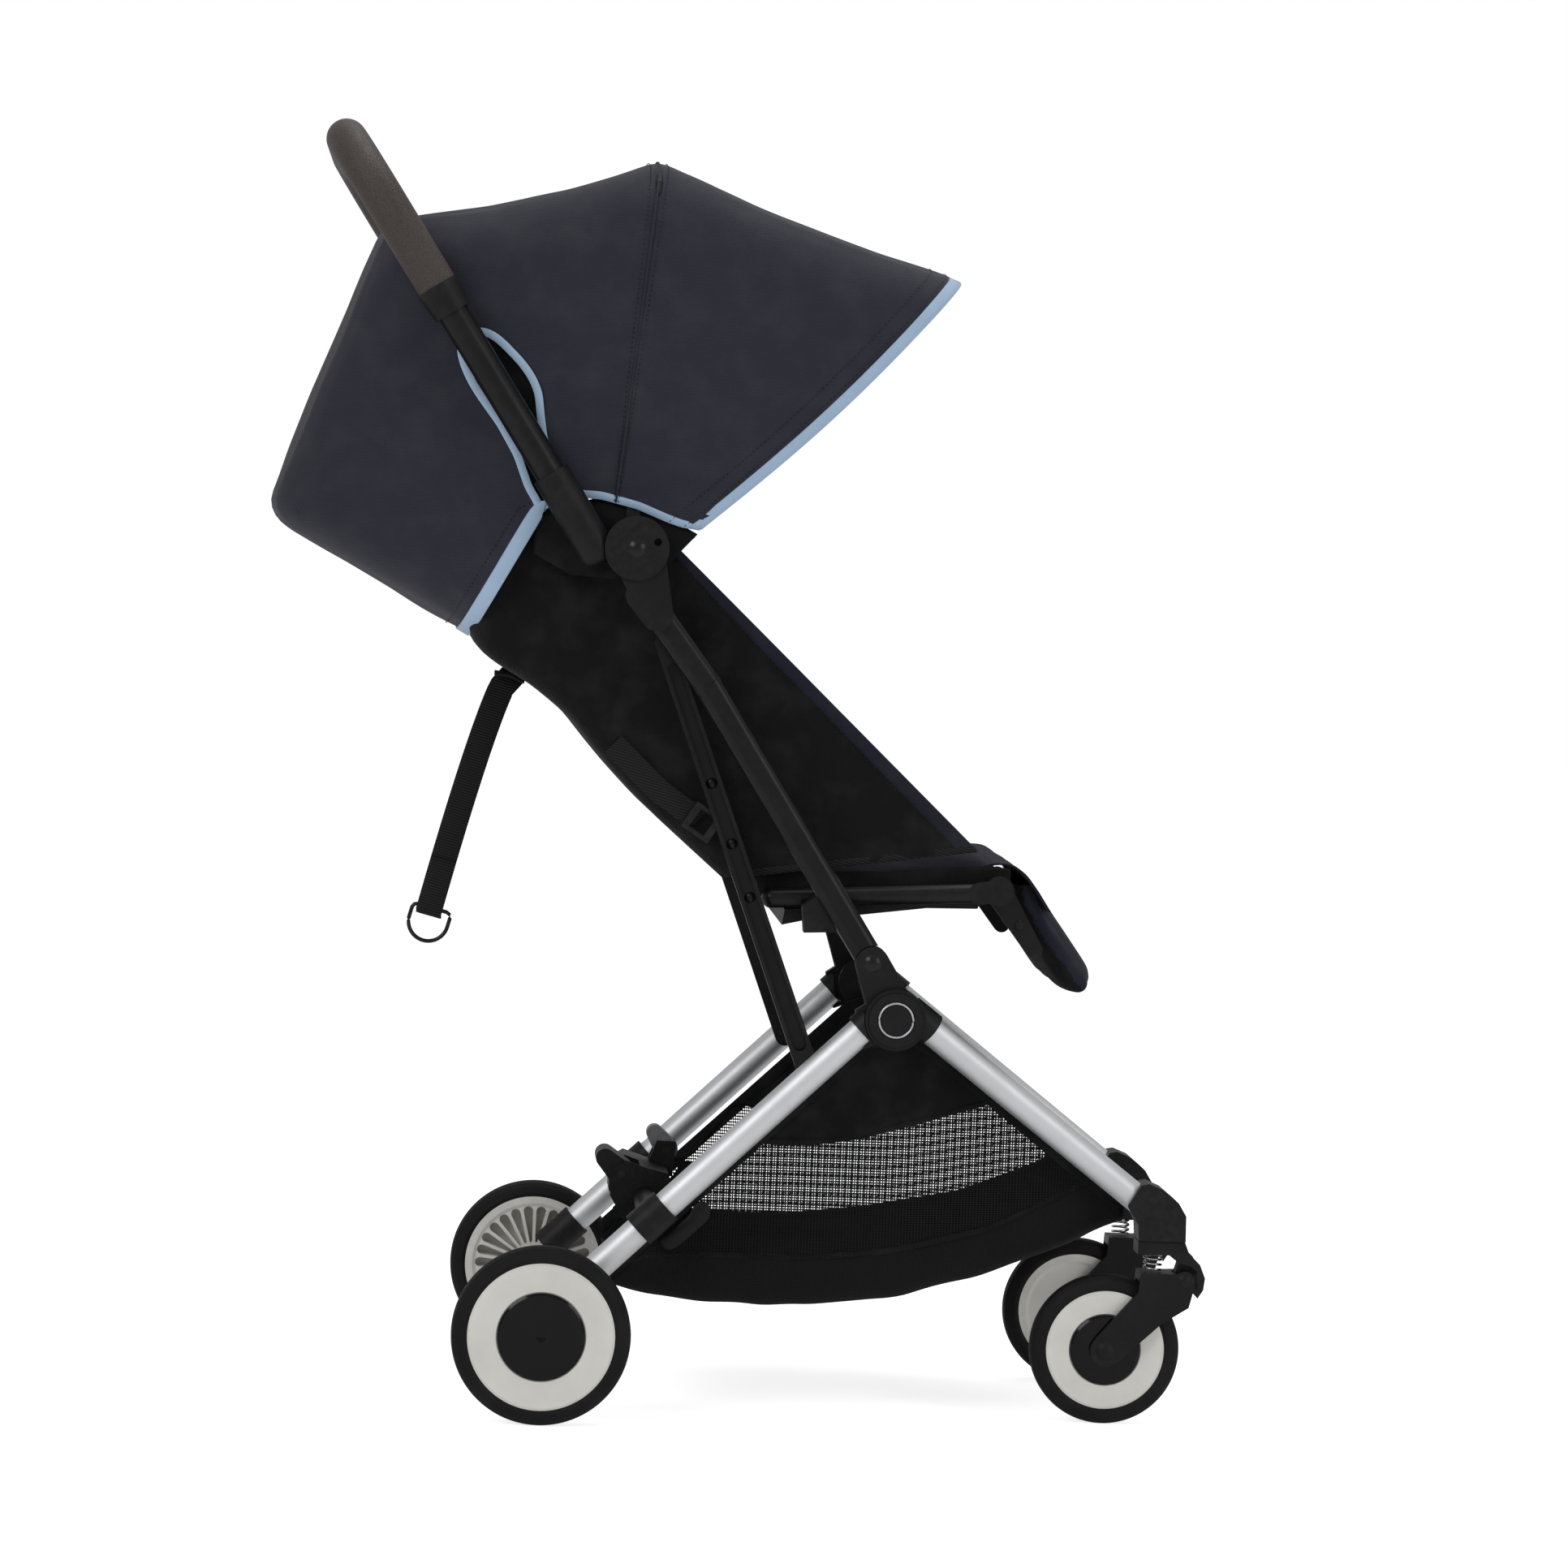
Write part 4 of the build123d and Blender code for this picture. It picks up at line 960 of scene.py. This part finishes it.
# %% Black skirt inside the low edge, and the flap behind each slit
ELBOW_AT = (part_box("elbow_pins")[0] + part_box("elbow_pins")[1]) / 2 / MM
skirt_high = spaced(placed(ELBOW_AT, [(-82, 24), (-52, 32), (-18, 40), (12, 33), (50, 13)]), 24)
skirt_low = spaced(placed(ELBOW_AT, [(-82, -8), (-52, -24), (-18, -26), (12, -20), (30, -9)]), 24)
flap_left = [(x - 5, z) for x, z in spaced(slit_left, 24)]
flap_right = [(x + 5, z) for x, z in spaced(slit_right[::-1], 24)]
patches = []
for sign in (-1, 1):
    for one, other, deep in ((skirt_high, skirt_low, 4.5), (flap_left, flap_right, 9.0)):
        rows = [[(a[0] + (b[0] - a[0]) * k / 8, sign * (HALF - deep), a[1] + (b[1] - a[1]) * k / 8)
                 for a, b in zip(one, other)] for k in range(9)]
        patches.append(woven("patch", rows))
        push(patches[-1], lambda p: 0.7 * crumple(p, 24, 5.0))
skirt = joined("hood_skirt", patches)
thicken(skirt, 0.9)
dress(skirt, black_lining, slot="black_fabric")
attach(skirt, "main_frame")
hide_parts("canopy_rear", "canopy_front")
print("hood dressed;", len(binding.data.polygons), "faces of binding")

# %% [markdown]
# ## The seat
# The seat is one black cloth shell: it starts at a navy band along the front edge of one side, runs back,
# turns round the backrest and returns along the other side. It could be cut as three flat sheets, but cloth
# never meets in a hard corner, so it is woven as a single U with a soft turn at the back.

# %% Shell of the seat
WING = corner("side_wings")
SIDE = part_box("side_wings")[1].y / MM - 1.4
front_edge = placed(WING, [(418, 12), (163, 250), (178, 258)])
back_line = placed(WING, [(212, -18), (185, 5), (151, 34), (113, 72), (81, 111), (50, 134), (25, 147),
                          (4, 162), (-10, 200), (-20, 255), (-24, 315)])
LEVELS = 56
front_run = spaced(front_edge, LEVELS)
back_run = eased(spaced(back_line, LEVELS), 3)


def seat_level(i):
    """One level of the shell, from the right front edge round the back to the left front edge."""
    (fx, fz), (kx, kz) = front_run[i], back_run[i]
    t = i / (LEVELS - 1)
    turn = 24.0
    back = Vector((kx - fx, 0, kz - fz))
    deep = back.length
    back.normalize()
    half = []
    steps = 34
    for k in range(steps):
        s = k / steps
        billow = 1.6 * math.sin(math.pi * s) * math.sin(math.pi * t)
        p = Vector((fx, 0, fz)) + back * (s * (deep - turn))
        half.append((p.x, -SIDE + billow, p.z))
    for k in range(8):
        a = math.pi / 2 * k / 8
        p = Vector((kx, 0, kz)) - back * (turn * (1 - math.sin(a)))
        half.append((p.x, -SIDE + turn * (1 - math.cos(a)), p.z))
    for k in range(13):
        s = k / 12
        sag = 3.5 * math.sin(math.pi / 2 * s) * math.sin(math.pi * t)
        p = Vector((kx, 0, kz)) + back * sag
        half.append((p.x, (-SIDE + turn) * (1 - s), p.z))
    return half + [(x, -y, z) for x, y, z in half[-2::-1]]


levels = [seat_level(i) for i in range(LEVELS)]
shell = woven("seat_shell", levels)


def seat_folds(p):
    """Slack cloth: long folds that run down the side, and small creases low at the back."""
    side = smooth((abs(p.y) - 100) / 40)
    long_fold = crumple((p.x * 0.9 + p.z * 0.35, p.y, p.z * 0.12), 26, 2.0)
    low = smooth((WING[2] + 170 - p.z) / 140)
    return 0.8 * long_fold * side + (0.7 + 0.9 * low) * crumple(p, 52, 9.0)


push(shell, seat_folds)
thicken(shell, 1.4)
dress(shell, black_cloth, slot="black_fabric")


def with_seat(piece):
    """Bakes a seat piece's placement into its own mesh."""
    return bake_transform(piece)


# %% Navy band, low edge tape and seams of the seat
bands, seams = [], []
BAND_POINTS, LOW_POINTS = 60, 35
band_run = spaced(front_edge[:2], BAND_POINTS)
for sign in (-1, 1):
    edge = [(x, sign * SIDE, z) for x, z in band_run]
    way = [Vector((b[0] - f[0], 0, b[1] - f[1])) for f, b in zip(band_run, spaced(back_line, BAND_POINTS))]
    bands.append(dress(tape("band", edge, way, [(0, 1, 0)] * BAND_POINTS, 14.0, 3.0, 1.4), seat_navy))
    first = 0 if sign < 0 else len(levels[0]) - LOW_POINTS
    low = levels[0][first:first + LOW_POINTS]
    rise = [Vector(levels[3][first + j]) - Vector(p) for j, p in enumerate(low)]
    bands.append(dress(tape("band", low, rise, [(0, 1, 0)] * LOW_POINTS, 6.5, 3.4, 1.6), webbing))
    inner = [(Vector(p) + w_.normalized() * 15.2 + Vector((0, sign * 1.3, 0)), (0, sign, 0))
             for p, w_ in zip(edge, way)]
    seams.append([(tuple(p), n) for p, n in inner])
    seams.append([(tuple(Vector(p) + w_.normalized() * 12.0 + Vector((0, sign * 1.8, 0))), (0, sign, 0))
                  for p, w_ in zip(edge, way)])
    corner_at = 38 if sign < 0 else len(levels[0]) - 39
    outside = Vector((-0.6, sign * 1.3, -0.4))
    seams.append([(tuple(Vector(level[corner_at]) + outside), (-0.6, sign * 0.8, -0.3)) for level in levels])
band = joined("seat_bands", bands)
seat_thread = dress(stitches("seat_stitches", seams, 2.6, 1.6, 0.3), dark_thread, slot="navy_fabric")
for piece in (shell, band, seat_thread):
    with_seat(piece)
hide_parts("side_wings", "backrest_shell")

# %% [markdown]
# ## Padding
# A cushion is a bag that pushes back. The honest way to get that shape is to let Blender blow it up: the pad
# starts a little too thin, is remeshed into even quads, and a short cloth simulation with inner pressure
# rounds its faces. Every point may move only a few millimetres, so the pad
# never reaches its neighbours. The sewn channels are pressed in afterwards, because remeshing erases them.

# %% Stuffing a pad
def pad(name, spine, thick, half, cap=5.0, voxel=6.0, pressure=4.0):
    """A padded panel that follows a side-view spine. thick is its thickness at each spine point."""
    run = spaced([(x, z, t) for (x, z), t in zip(spine, thick)], 46)
    run = eased(run, 2)
    rows = []
    for i, (x, z, t) in enumerate(run):
        u = i / (len(run) - 1)
        a, b = run[max(i - 1, 0)], run[min(i + 1, len(run) - 1)]
        n = Vector((-(b[1] - a[1]), 0, b[0] - a[0])).normalized()
        end = max(1 - abs(2 * u - 1) ** 9, 0.0) ** 0.5
        wide = half * (1 - 0.022 * math.sin(math.pi * u)) * (1 - 0.06 * abs(2 * u - 1) ** 7)
        row = []
        for k in range(56):
            w_ = 2 * math.pi * k / 56
            c, s = math.cos(w_), math.sin(w_)
            y = wide * math.copysign(abs(c) ** 0.3, c)
            h = (t / 2) * end * math.copysign(abs(s) ** 0.62, s) * (0.82 + 0.18 * (1 - (y / wide) ** 2))
            row.append((x + n.x * h, y, z + n.z * h))
        rows.append(row)
    piece = woven(name, rows, loop=True)
    cap_ends(piece, 56)
    tidy(piece, 0.02)
    fine = piece.modifiers.new("even_quads", "REMESH")
    fine.mode, fine.voxel_size = "VOXEL", voxel * MM
    freeze(piece)
    before = [v.co.copy() for v in piece.data.vertices]
    stuffing = piece.modifiers.new("stuffing", "CLOTH").settings
    stuffing.use_pressure, stuffing.uniform_pressure_force = True, pressure
    stuffing.effector_weights.gravity = 0.0
    stuffing.quality = 5
    scene = bpy.context.scene
    for step in range(1, 21):
        scene.frame_set(step)
    freeze(piece)
    scene.frame_set(1)
    for v, rest in zip(piece.data.vertices, before):
        move = v.co - rest
        if move.length > cap * MM:
            v.co = rest + move * (cap * MM / move.length)
    soft = piece.modifiers.new("soft", "SUBSURF")
    soft.levels = soft.render_levels = 1
    freeze(piece)
    print(name, "stuffed,", len(piece.data.polygons), "faces")
    return piece


def channel(piece, off, depth, width=3.2):
    """Presses a sewn channel into a pad, where off(point in mm) is near zero."""
    return push(piece, lambda p: -depth * bell(off(p), width))


# %% Back pad and seat cushion
PAD = corner("backrest_pad")
off_shell = Vector((2.5, 0, 2.0))
back_spine = placed(Vector(PAD) + off_shell, [(209, -3), (184, 17), (150, 51), (114, 90), (84, 129),
                                              (57, 164), (35, 199), (17, 240), (4, 306)])
back_pad = pad("back_pad", back_spine, [8.5] * 9, 124, cap=3.0, voxel=4.0)
for side_y in (-78.0, 78.0):
    channel(back_pad, lambda p, y=side_y: p.y - y, 1.8)
for level_z in (60, 118, 176):
    channel(back_pad, lambda p, z=level_z: (p.z - PAD[2] - z) if abs(p.y) < 78 else 40.0, 1.3)
dress(back_pad, seat_navy, slot="navy_fabric")
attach(back_pad, "backrest")
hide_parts("backrest_pad")

CUSHION = corner("seat_cushion")
seat_spine = placed(CUSHION, [(-6, 7), (52, 7), (108, 9), (150, 15), (186, 20), (205, 18), (214, 13)])
seat_pad = pad("seat_pad", seat_spine, [15, 16, 19, 21, 22, 21, 16], 141, cap=4.0)
for side_y in (-84.0, 84.0):
    channel(seat_pad, lambda p, y=side_y: p.y - y, 2.4)
for level_x in (70, 140):
    channel(seat_pad, lambda p, x=level_x: (p.x - CUSHION[0] - x) if abs(p.y) < 84 else 40.0, 1.8)
dress(seat_pad, seat_navy, slot="navy_fabric")
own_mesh(seat_pad)
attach(seat_pad, "main_frame")
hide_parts("seat_cushion")

# %% Black flaps between the cushion, its rails and the shell
flaps = []
flap_high = spaced(placed(CUSHION, [(6, 12), (114, 16), (194, 24), (216, 22)]), 30)
flap_low = spaced(placed(CUSHION, [(12, -12), (114, -6), (200, 2), (216, 8)]), 30)
for sign in (-1, 1):
    rows = [[(a[0] + (b[0] - a[0]) * k / 6, sign * 146.5, a[1] + (b[1] - a[1]) * k / 6)
             for a, b in zip(flap_high, flap_low)] for k in range(7)]
    flaps.append(woven("flap", rows))
    push(flaps[-1], lambda p: 0.6 * crumple(p, 30, 4.0))
rows = [[(CUSHION[0] - 21 + 27 * k / 6, y, CUSHION[2] + 7 - 4 * k / 6) for y in range(-142, 143, 4)]
        for k in range(7)]
flaps.append(woven("flap", rows))
seat_flaps = joined("seat_flaps", flaps)
thicken(seat_flaps, 0.9)
dress(seat_flaps, black_cloth, slot="black_fabric")
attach(seat_flaps, "main_frame")

# %% Calf rest
CALF = corner("leg_rest_pad")
calf_spine = placed(CALF, [(12, 93), (17, 76), (29, 57), (43, 38), (56, 20), (66.5, 6), (70, 0.5)])
calf_rest = pad("calf_rest", calf_spine, [20, 26, 27, 27, 27, 27, 26], 137.5, cap=3.0, voxel=5.0)
# the way its front face looks, as x and z
CALF_OUT = (0.83, 0.55)


def off_calf_seam(p):
    """Distance from the calf rest's seam; past its ends the answer is just far away."""
    return (p.x - CALF[0]) * CALF_OUT[0] + (p.z - CALF[2]) * CALF_OUT[1] - 62 if abs(p.y) < 120 else 40.0


channel(calf_rest, off_calf_seam, 1.4)
dress(calf_rest, seat_navy, black_cloth, slot="navy_fabric")
for face in calf_rest.data.polygons:
    face.material_index = int(face.normal.x * CALF_OUT[0] + face.normal.z * CALF_OUT[1] < -0.25)
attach(calf_rest, "leg_rest")
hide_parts("leg_rest_pad")

# %% Cloth that runs from the cushion over the hinge bar to the calf rest
apron_run = placed(CUSHION, [(184, 20), (206, 25), (219, 24), (230, 16), (241, 2), (251, -13)])
apron_run = eased(spaced(apron_run, 30), 2)
apron = woven("seat_apron", [[(x, y, z) for y in range(-137, 138, 4)] for x, z in apron_run])
push(apron, lambda p: 0.7 * crumple(p, 40, 12.0))
thicken(apron, 1.6)
dress(apron, seat_navy, slot="navy_fabric")
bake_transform(apron)
print("pads placed")

# %% [markdown]
# ## Straps
# Webbing is flat and keeps its width, so it is modelled directly as a thin band along a line, never
# simulated. The pull strap hangs from the backrest, with its lower end sewn back on itself round the ring.

# %% Harness, crotch strap and buckle
def strap(name, path, width, thick, flat_way, face_way, finish_with=None, slot="webbing"):
    """Flat webbing along 3-D points. flat_way is across its width and face_way out of its face."""
    across, out = ([way] * len(path) if isinstance(way, tuple) else way for way in (flat_way, face_way))
    piece = tape(name, path, across, out, width / 2, thick, over=width / 2)
    return dress(piece, finish_with or webbing, slot=slot)


def facing(run):
    """Unit normals, in the side view, on the left of a path."""
    out = []
    for i in range(len(run)):
        (x0, z0), (x1, z1) = run[max(i - 1, 0)], run[min(i + 1, len(run) - 1)]
        n = Vector((-(z1 - z0), 0, x1 - x0)).normalized()
        out.append(tuple(n))
    return out


harness = []
chest = eased(spaced(placed(PAD, [(120, 100), (89, 139), (61, 175), (39, 209), (22, 249)]), 40), 2)
for sign in (-1, 1):
    rise = [(x + 4, sign * 46, z + 3) for x, z in chest]
    harness.append(strap("web", rise, 24, 2.0, (0, 1, 0), facing(chest)))
    padded_part = [(x + 6.5, sign * 46, z + 5) for x, z in chest[12:32]]
    harness.append(strap("web", padded_part, 34, 5.5, (0, 1, 0), facing(chest[12:32]), black_cloth))
harness = joined("harness", harness)
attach(harness, "backrest")
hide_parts("harness_straps")

crotch_run = eased(spaced(placed(CUSHION, [(90, 19), (80, 40), (72, 60), (67, 76)]), 24), 2)
crotch = strap("crotch_web", [(x, 0, z) for x, z in crotch_run], 26, 2.2, (0, 1, 0), facing(crotch_run))
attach(crotch, "main_frame")
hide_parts("crotch_strap")
bm = bmesh.new()
bmesh.ops.create_cube(bm, size=1.0)
bmesh.ops.subdivide_edges(bm, edges=bm.edges, cuts=3, use_grid_fill=True)
low_b, high_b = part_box("harness_buckle")
mid_b, size_b = (low_b + high_b) / 2, high_b - low_b
for v in bm.verts:
    p = Vector(v.co)
    p.y *= 1 - 0.5 * max(p.z + 0.1, 0) ** 2
    p.x *= 1 - 1.2 * p.y * p.y
    v.co = Vector((mid_b.x + p.x * size_b.x * 0.8, mid_b.y + p.y * size_b.y, mid_b.z + p.z * size_b.z))
mesh = bpy.data.meshes.new("buckle_body")
bm.to_mesh(mesh)
bm.free()
buckle = bpy.data.objects.new("buckle_body", mesh)
bpy.context.scene.collection.objects.link(buckle)
buckle.modifiers.new("round", "SUBSURF").levels = 2
buckle.modifiers["round"].render_levels = 2
freeze(buckle)
dress(buckle, black_plastic, slot="black_plastic")
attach(buckle, "main_frame")
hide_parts("harness_buckle")
press_x, press_z = mid_b.x / MM, mid_b.z / MM
button = tube("buckle_button", [(press_x + 9.0, 0, press_z), (press_x + 14.5, 0, press_z + 1)], 8.0, ring=28)
dress(button, grey_plastic, slot="grey_plastic")
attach(button, "main_frame")

# %% Recline webbing
web_low = corner("recline_webbing")
webs = []
recline_run = eased(spaced(placed(web_low, [(7, 67), (45, 31), (79, 8)]), 30), 3)
outer_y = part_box("recline_webbing")[1].y / MM - 0.8
for sign in (-1, 1):
    webs.append(strap("web", [(x, sign * outer_y, z) for x, z in recline_run], 20, 1.6,
                      facing(recline_run)[0], (0, 1, 0)))
recline_web = joined("recline_web", webs)
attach(recline_web, "backrest")
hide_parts("recline_webbing")

# %% Pull strap
ring_low, ring_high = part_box("strap_ring")
pull_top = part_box("pull_strap")[1]
ring_bar = ((ring_low.x + ring_high.x) / 2 / MM, ring_high.z / MM - 6)
top_x, top_z = pull_top.x / MM - 20, pull_top.z / MM - 15.5
drop_x, drop_z = ring_bar[0] - top_x, ring_bar[1] - top_z
pull_run = [(top_x + drop_x * t ** 0.84, top_z + drop_z * t) for t in [k / 44 for k in range(45)]]
pull_run[0] = (top_x + 9, top_z + 9)
sewn_back = pull_run[34:]
pull_outer = [(x, 1.3 * smooth((k - 30) / 10), z) for k, (x, z) in enumerate(pull_run)]
pull_parts = [strap("web", pull_outer, 22, 1.7, facing(pull_run), (0, 1, 0)),
              strap("web", [(x, -1.3, z) for x, z in sewn_back], 22, 1.7, facing(sewn_back), (0, 1, 0))]
loop_run = [(ring_bar[0], 1.9 * math.cos(a), ring_bar[1] - 1.9 * math.sin(a) * 1.6) for a in
            [math.pi * k / 10 for k in range(11)]]
pull_parts.append(strap("web", loop_run, 22, 1.5, facing(pull_run)[-1], (0, 0, 1)))
seat_end = [(top_x - 9, 0, top_z + 7), (top_x + 4, 0, top_z + 6), (top_x + 16, 0, top_z + 1)]
pull_parts.append(strap("web", seat_end, 30, 4.0, (0, 1, 0), (0, 0, 1), black_cloth))
pull = joined("pull_web", pull_parts)
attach(pull, "backrest")
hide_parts("pull_strap")

# %% Ring at the end of the pull strap
ring_mid = (ring_low + ring_high) / 2 / MM
reach = (ring_high.x - ring_low.x) / 2 / MM - 2.4
ring_run = [(-reach * math.cos(math.pi * k / 24), -reach * math.sin(math.pi * k / 24)) for k in range(25)]
rise = (ring_high.z - ring_low.z) / MM - reach - 5.0
ring_run += [(reach, rise - 4), (reach - 1.2, rise - 1.2), (reach - 4, rise), (4 - reach, rise),
             (1.2 - reach, rise - 1.2), (-reach, rise - 4)]
tilt = math.radians(-15)
turn_x, turn_z = math.cos(tilt), math.sin(tilt)
ring_run = [(x * turn_x - z * turn_z, x * turn_z + z * turn_x) for x, z in ring_run]
ring_drop = ring_low.z / MM + reach + 2.2
d_ring = tube("d_ring", [(ring_mid.x + x, 0, ring_drop + z) for x, z in ring_run], 1.7, loop=True, ring=12)
dress(d_ring, black_steel, slot="black_steel")
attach(d_ring, "strap_ring")
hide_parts("strap_ring")
print("ring", [round(v, 1) for v in ring_low / MM], [round(v, 1) for v in ring_high / MM])
print("straps sewn; the pull strap hangs", round(-drop_z), "mm")

# %% [markdown]
# ## The shopping basket
# A basket of cloth is a hammock: its side panels hang from tapes along the legs and its floor sags in the
# middle. It is lofted from cross-sections taken from the rear to the front. Each one drops down a side,
# turns over a round corner, sags across the floor and climbs the other side. The side is woven in three
# bands, plain cloth, open net and fine net, whose borders follow the sewn lines, so each band can have its
# own finish without a seam ever cutting through a face.

# %% Lines of the basket
BASKET = corner("basket")
rear_tip, front_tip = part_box("basket")[0].x / MM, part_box("basket")[1].x / MM


def level_at(line, x):
    """Height of a line of (x, z) points at x."""
    if x <= line[0][0]:
        return line[0][1]
    for (x0, z0), (x1, z1) in zip(line, line[1:]):
        if x <= x1:
            return z0 + (z1 - z0) * (x - x0) / (x1 - x0)
    return line[-1][1]


# written from the basket's rear low corner
hem_line = placed(BASKET, [(0, 32), (204, 228), (222, 233), (242, 232), (276, 207), (422, 94)])
floor_line = eased(spaced(placed(BASKET, [(0, 16), (20, 8.5), (65, 2.2), (122, 0.4), (167, 2), (232, 9),
                                          (298, 25), (348, 43), (392, 60), (422, 76)]), 60), 3)
net_top = eased(spaced(placed(BASKET, [(-10, 78), (74, 90), (115, 143), (122, 136), (159, 137), (198, 143),
                                       (284, 168), (330, 182), (422, 200)]), 80), 1)
net_low = eased(spaced(placed(BASKET, [(-10, 30), (34, 40), (79, 42), (125, 41), (162, 42), (228, 50),
                                       (307, 68), (370, 96), (422, 126)]), 80), 2)
plan_line = [(rear_tip, 148), (BASKET[0] + 242, 146), (front_tip, 103)]
SLICES, TOP, NET, LOW, BEND_N, FLOOR_N = 96, 12, 14, 8, 8, 16


def basket_slice(i):
    """One cross-section from the right hem, under the floor, to the left hem."""
    x = rear_tip + (front_tip - rear_tip) * i / (SLICES - 1)
    hem, base, half = level_at(hem_line, x), level_at(floor_line, x), level_at(plan_line, x)
    top = min(level_at(net_top, x), hem)
    low = min(level_at(net_low, x), hem)
    turn = min(22.0, (hem - base) * 0.45)
    low = max(low, base + turn + 0.5)
    top = max(top, low)
    hem = max(hem, top)
    side = []
    for a, b, n in ((hem, top, TOP), (top, low, NET), (low, base + turn, LOW)):
        side += [(half, a + (b - a) * k / n) for k in range(n)]
    for k in range(BEND_N):
        w_ = math.pi / 2 * k / BEND_N
        side.append((half - turn * (1 - math.cos(w_)), base + turn * (1 - math.sin(w_))))
    for k in range(FLOOR_N + 1):
        s = k / FLOOR_N
        sag = 1.5 * math.sin(math.pi / 2 * s) - 1.5 * smooth(1 - s * 3)
        side.append(((half - turn) * (1 - s), base - sag))
    tall = max(hem - base, 1)
    out = []
    for y, z in side:
        lean = 3.5 * math.sin(math.pi * min(max((hem - z) / tall, 0), 1)) * min(1, tall / 90)
        out.append((x, -(y - lean) if y > 1e-6 else 0.0, z))
    return out + [(px, -py, pz) for px, py, pz in out[-2::-1]]


slices = [basket_slice(i) for i in range(SLICES)]
basket = woven("basket_cloth", slices)
across = len(slices[0]) - 1
dress(basket, black_cloth, open_net, fine_net, slot="black_fabric")
for k, face in enumerate(basket.data.polygons):
    j = k % across
    j = min(j, across - 1 - j)
    face.material_index = 0 if j < TOP else 1 if j < TOP + NET else 2


def basket_folds(p):
    """Hanging cloth: upright folds that die out at the hem and towards the floor."""
    side = smooth((abs(p.y) - 60) / 40)
    drape = crumple((p.x, p.y * 0.2, p.z * 0.22), 30, 4.0) * 2.0
    below_hem = smooth((level_at(hem_line, p.x) - p.z) / 24)
    return side * drape * below_hem + (1 - side) * 2.2 * crumple(p, 70, 6.0)


push(basket, basket_folds)
tidy(basket, 0.12)
thicken(basket, 0.9)

# %% Hem tapes, net seams and a plain tab
parts, seams = [], []
for sign in (-1, 1):
    rim = [(p[0], p[1] * (1 if sign < 0 else -1), p[2]) for p in (s[0] for s in slices)]
    rim = spaced(rim, 110)
    down = [(0, 0, -1)] * len(rim)
    parts.append(dress(tape("band", rim, down, [(0, 1, 0)] * len(rim), 13.0, 2.6, 1.4), black_cloth))
    for row, width in ((TOP, 5.0), (TOP + NET, 5.0)):
        run = [s[row] for s in slices if s[TOP][2] - s[TOP + NET][2] > 4]
        run = [(x, y * (1 if sign < 0 else -1), z) for x, y, z in run]
        run = eased(spaced(run, 90), 1)
        seam_tape = tape("band", run, [(0, 0, -1)] * 90, [(0, 1, 0)] * 90, width / 2, 2.4, width / 2)
        parts.append(dress(seam_tape, black_cloth))
        seams.append([((x, y + sign * 1.5, z), (0, sign, 0)) for x, y, z in run])
    tab = placed(BASKET, [(38, 52), (62, 74), (66, 84), (73, 87), (79, 83), (79, 72), (54, 48), (44, 44)])
    shape = eased(spaced(tab + tab[:1], 33)[:-1], 1, closed=True)
    at = level_at(plan_line, BASKET[0] + 58) + 1.4
    tab_x, tab_z = BASKET[0] + 59, BASKET[2] + 66
    smaller = [(x + (tab_x - x) * 0.1, z + (tab_z - z) * 0.1) for x, z in shape]
    rings = ((shape, 0.0), (shape, 1.6), (smaller, 2.2))
    tab_points = [(x, sign * (at + out), z) for outline, out in rings for x, z in outline]
    n = len(shape)
    walls = [(r * n + k, r * n + (k + 1) % n, (r + 1) * n + (k + 1) % n, (r + 1) * n + k)
             for r in range(2) for k in range(n)]
    plate = mesh_piece("tab", tab_points, walls + [tuple(range(2 * n, 3 * n)), tuple(range(n - 1, -1, -1))])
    tidy(plate)
    parts.append(dress(plate, black_plastic))
basket_trim = joined("basket_trim", parts)
basket_thread = dress(stitches("basket_stitches", seams, 2.6, 1.8, 0.3), dark_thread, slot="black_fabric")


def with_basket(piece):
    """Bakes a basket piece's placement into its own mesh."""
    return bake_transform(piece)


for piece in (basket, basket_trim, basket_thread):
    with_basket(piece)
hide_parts("basket")

# %% [markdown]
# ## Last small parts
# The round cap on each hub carries a plain silver ring that sits in its groove: a thin tube bent into a
# circle is enough. The small coil springs over the front wheels are stiff CAD parts, although a real spring
# gets shorter as its arm lifts; here each one only gets a mesh of its own.

# %% Hub rings
cap_low, cap_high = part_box("hub_caps")
hub_mid = (cap_low + cap_high) / 2 / MM
rings = []
for sign in (-1, 1):
    at = [(hub_mid.x + 13.8 * math.cos(2 * math.pi * k / 64), sign * (cap_high.y / MM - 0.5),
           hub_mid.z + 13.8 * math.sin(2 * math.pi * k / 64)) for k in range(64)]
    rings.append(dress(tube("ring", at, 0.95, loop=True, ring=8), ring_silver))
hub_rings = joined("hub_rings", rings)
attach(hub_rings, "front_frame")
print("hub rings set at", round(hub_mid.x), round(hub_mid.z))


# %% Springs with meshes of their own
for side in ("left", "right"):
    spring = frame["nodes"]["caster_spring_" + side]
    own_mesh(spring)
